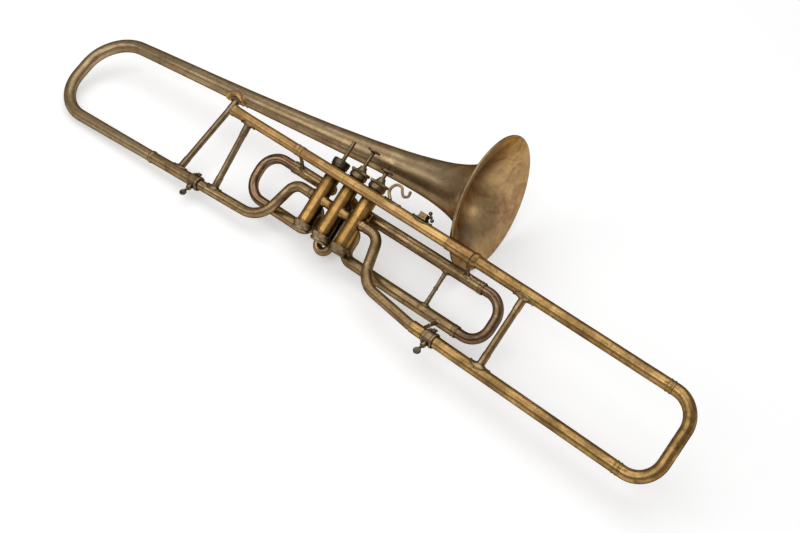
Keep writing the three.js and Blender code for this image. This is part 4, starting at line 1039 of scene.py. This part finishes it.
def lyre_holder():
    """A square socket on a saddle, and the cross-handled screw that rises from its front wall."""
    middle, base, box, hole, top, seat = 121, 9.2, 11, 7, 16.1, 7.68
    low = base - 0.6
    height, half = top - low, (top + low) / 2
    wall = (box - hole) / 2
    offset = (hole + wall) / 2
    plate = saddle(at(middle, 0, 0), ALONG, UP, seat, half_length=16, half_width=10, thickness=1.2)
    step = rounded_box(at(middle, 0, base - 0.2), (box + 2.6, box + 1.6, 2.2), bevel=0.5)
    walls = []
    for side in (-1, 1):
        walls.append(rounded_box(at(middle, side * offset, half), (box, wall, height), bevel=0.4))
        walls.append(rounded_box(at(middle + side * offset, 0, half), (wall, hole + 0.4, height), bevel=0.4))
    piece("lyre_socket", joined(plate, step, *walls), "brown_brass", "lyre_holder")
    tilt, twist = math.radians(38), math.radians(23)
    shaft_radius, neck, bar_radius, half_bar, ball_radius = 1.4, 1.3, 1.3, 4.65, 2.6
    way = at(math.cos(tilt), 0, math.sin(tilt))
    face = at(middle + box / 2, 0, 13.3)
    start = face + way * (shaft_radius - wall / math.cos(tilt))
    cross = face + way * 4.4
    reach = float(np.linalg.norm(cross - start))
    shaft_outline = [
        (0, 0), (shaft_radius, 0), (shaft_radius, reach - 2.2), (1.9, reach - 1.9), (1.9, reach - 1.0),
        (neck, reach - 0.7), (neck, reach + 1.2), (0, reach + 1.5)]
    shaft = turned(start, way, shaft_outline, sides=24, fillet=0.2)
    bar_way = at(-math.sin(tilt) * math.cos(twist), -math.sin(twist), math.cos(tilt) * math.cos(twist))
    ends = [cross + bar_way * half_bar * side for side in (-1, 1)]
    half_outline = [(0, 0), (bar_radius, 0), (1.1, half_bar - 2), (1.7, half_bar - 0.8)]
    bar = turned(ends[0], bar_way, mirrored(half_outline, half_bar), sides=20, fillet=0.2)
    knobs = [ball(end, ball_radius) for end in ends]
    piece("lyre_screw_cast", joined(shaft, bar, *knobs), "dark_metal", "lyre_screw", "lyre_thumb_screw")


# Floor, lamps and camera
def floor_material():
    """White paper. The camera, and what the metal mirrors, see it a little lighter than its shading."""
    grey, lift_strength = 0.7, 0.41
    material, tree, shader = new_material("paper_floor")
    nodes, links = tree.nodes, tree.links
    set_inputs(shader, {
        "Base Color": (grey, grey, grey, 1), "Roughness": 0.9, "Specular IOR Level": 0.1,
        "Emission Color": (1, 1, 1, 1)})
    path = nodes.new("ShaderNodeLightPath")
    seen = path.outputs["Is Camera Ray"]
    for other in ("Is Glossy Ray", "Is Transmission Ray"):
        either = nodes.new("ShaderNodeMath")
        either.operation = "MAXIMUM"
        links.new(seen, either.inputs[0])
        links.new(path.outputs[other], either.inputs[1])
        seen = either.outputs[0]
    lift = nodes.new("ShaderNodeMath")
    lift.operation = "MULTIPLY"
    lift.inputs[1].default_value = lift_strength
    links.new(seen, lift.inputs[0])
    links.new(lift.outputs[0], shader.inputs["Emission Strength"])
    return material


def stage():
    """The floor, whose size is in metres."""
    half = 12
    mesh = bpy.data.meshes.new("floor")
    corners = [(-half, -half, 0), (half, -half, 0), (half, half, 0), (-half, half, 0)]
    mesh.from_pydata(corners, [], [(0, 1, 2, 3)])
    mesh.materials.append(floor_material())
    placed("floor", mesh)


def lamp(name, place, size, power):
    """A rectangular lamp that faces the middle of the horn. Its place and size are in metres."""
    data = bpy.data.lights.new(name, "AREA")
    data.shape = "RECTANGLE"
    data.size, data.size_y = size
    data.energy = power
    obj = placed(name, data)
    obj.location = place
    obj.rotation_euler = (-Vector(place)).to_track_quat("-Z", "Y").to_euler()


def lights():
    lamp("key", place=(-0.2, 0.4, 2.0), size=(2.6, 2.0), power=23)
    # of the two lower lamps, the first mirrors in the long tubes and the second in the valve casings
    lamp("tube_light", place=(-0.97, -1.34, 1.44), size=(1.3, 1.1), power=7)
    lamp("casing_light", place=(0.25, -1.3, 1.7), size=(1.1, 1.1), power=6.5)
    world = bpy.data.worlds.new("studio")
    bpy.context.scene.world = world
    world.use_nodes = True
    set_inputs(world.node_tree.nodes["Background"], {"Color": (1, 1, 1, 1), "Strength": 0.36})


def camera():
    """The photograph's view: 26 degrees round and 1 degree above in the horn's frame, rolled by 32.3."""
    around, above, roll = (math.radians(v) for v in (26, 1, 32.3))
    image_width, image_height, focal = 800, 533, 1300  # in pixels
    origin_px = (343.5, 178.0)  # where the horn's origin is seen
    distance, back_shift, sensor_width = 1680, 7, 36
    right = at(math.cos(around), math.sin(around), 0)
    ahead = at(-math.sin(around) * math.cos(above), math.cos(around) * math.cos(above), -math.sin(above))
    up = np.cross(right, ahead)
    image_right = right * math.cos(roll) + up * math.sin(roll)
    image_up = -right * math.sin(roll) + up * math.cos(roll)
    x = (origin_px[0] - image_width / 2) / focal * distance
    y = -(origin_px[1] - image_height / 2) / focal * distance
    place = -(image_right * x + image_up * y + ahead * distance) - ALONG * back_shift
    data = bpy.data.cameras.new("camera")
    data.sensor_width = sensor_width
    data.lens = focal / image_width * sensor_width
    obj = placed("camera", data)
    local = Matrix((Vector(image_right), Vector(image_up), Vector(-ahead))).transposed().to_4x4()
    local.translation = Vector(place * MM)
    obj.matrix_world = HORN @ local
    bpy.context.scene.camera = obj


camera()
bell_pieces()
back_bow()
leadpipe()
inner_slides()
front_slide()
braces()
posts()
knuckles()
double_bends()
valve_slides()
valves()
springs()
pistons()
clamps()
finger_hook()
lyre_holder()
stage()
lights()
bpy.context.scene.view_settings.view_transform = "Standard"
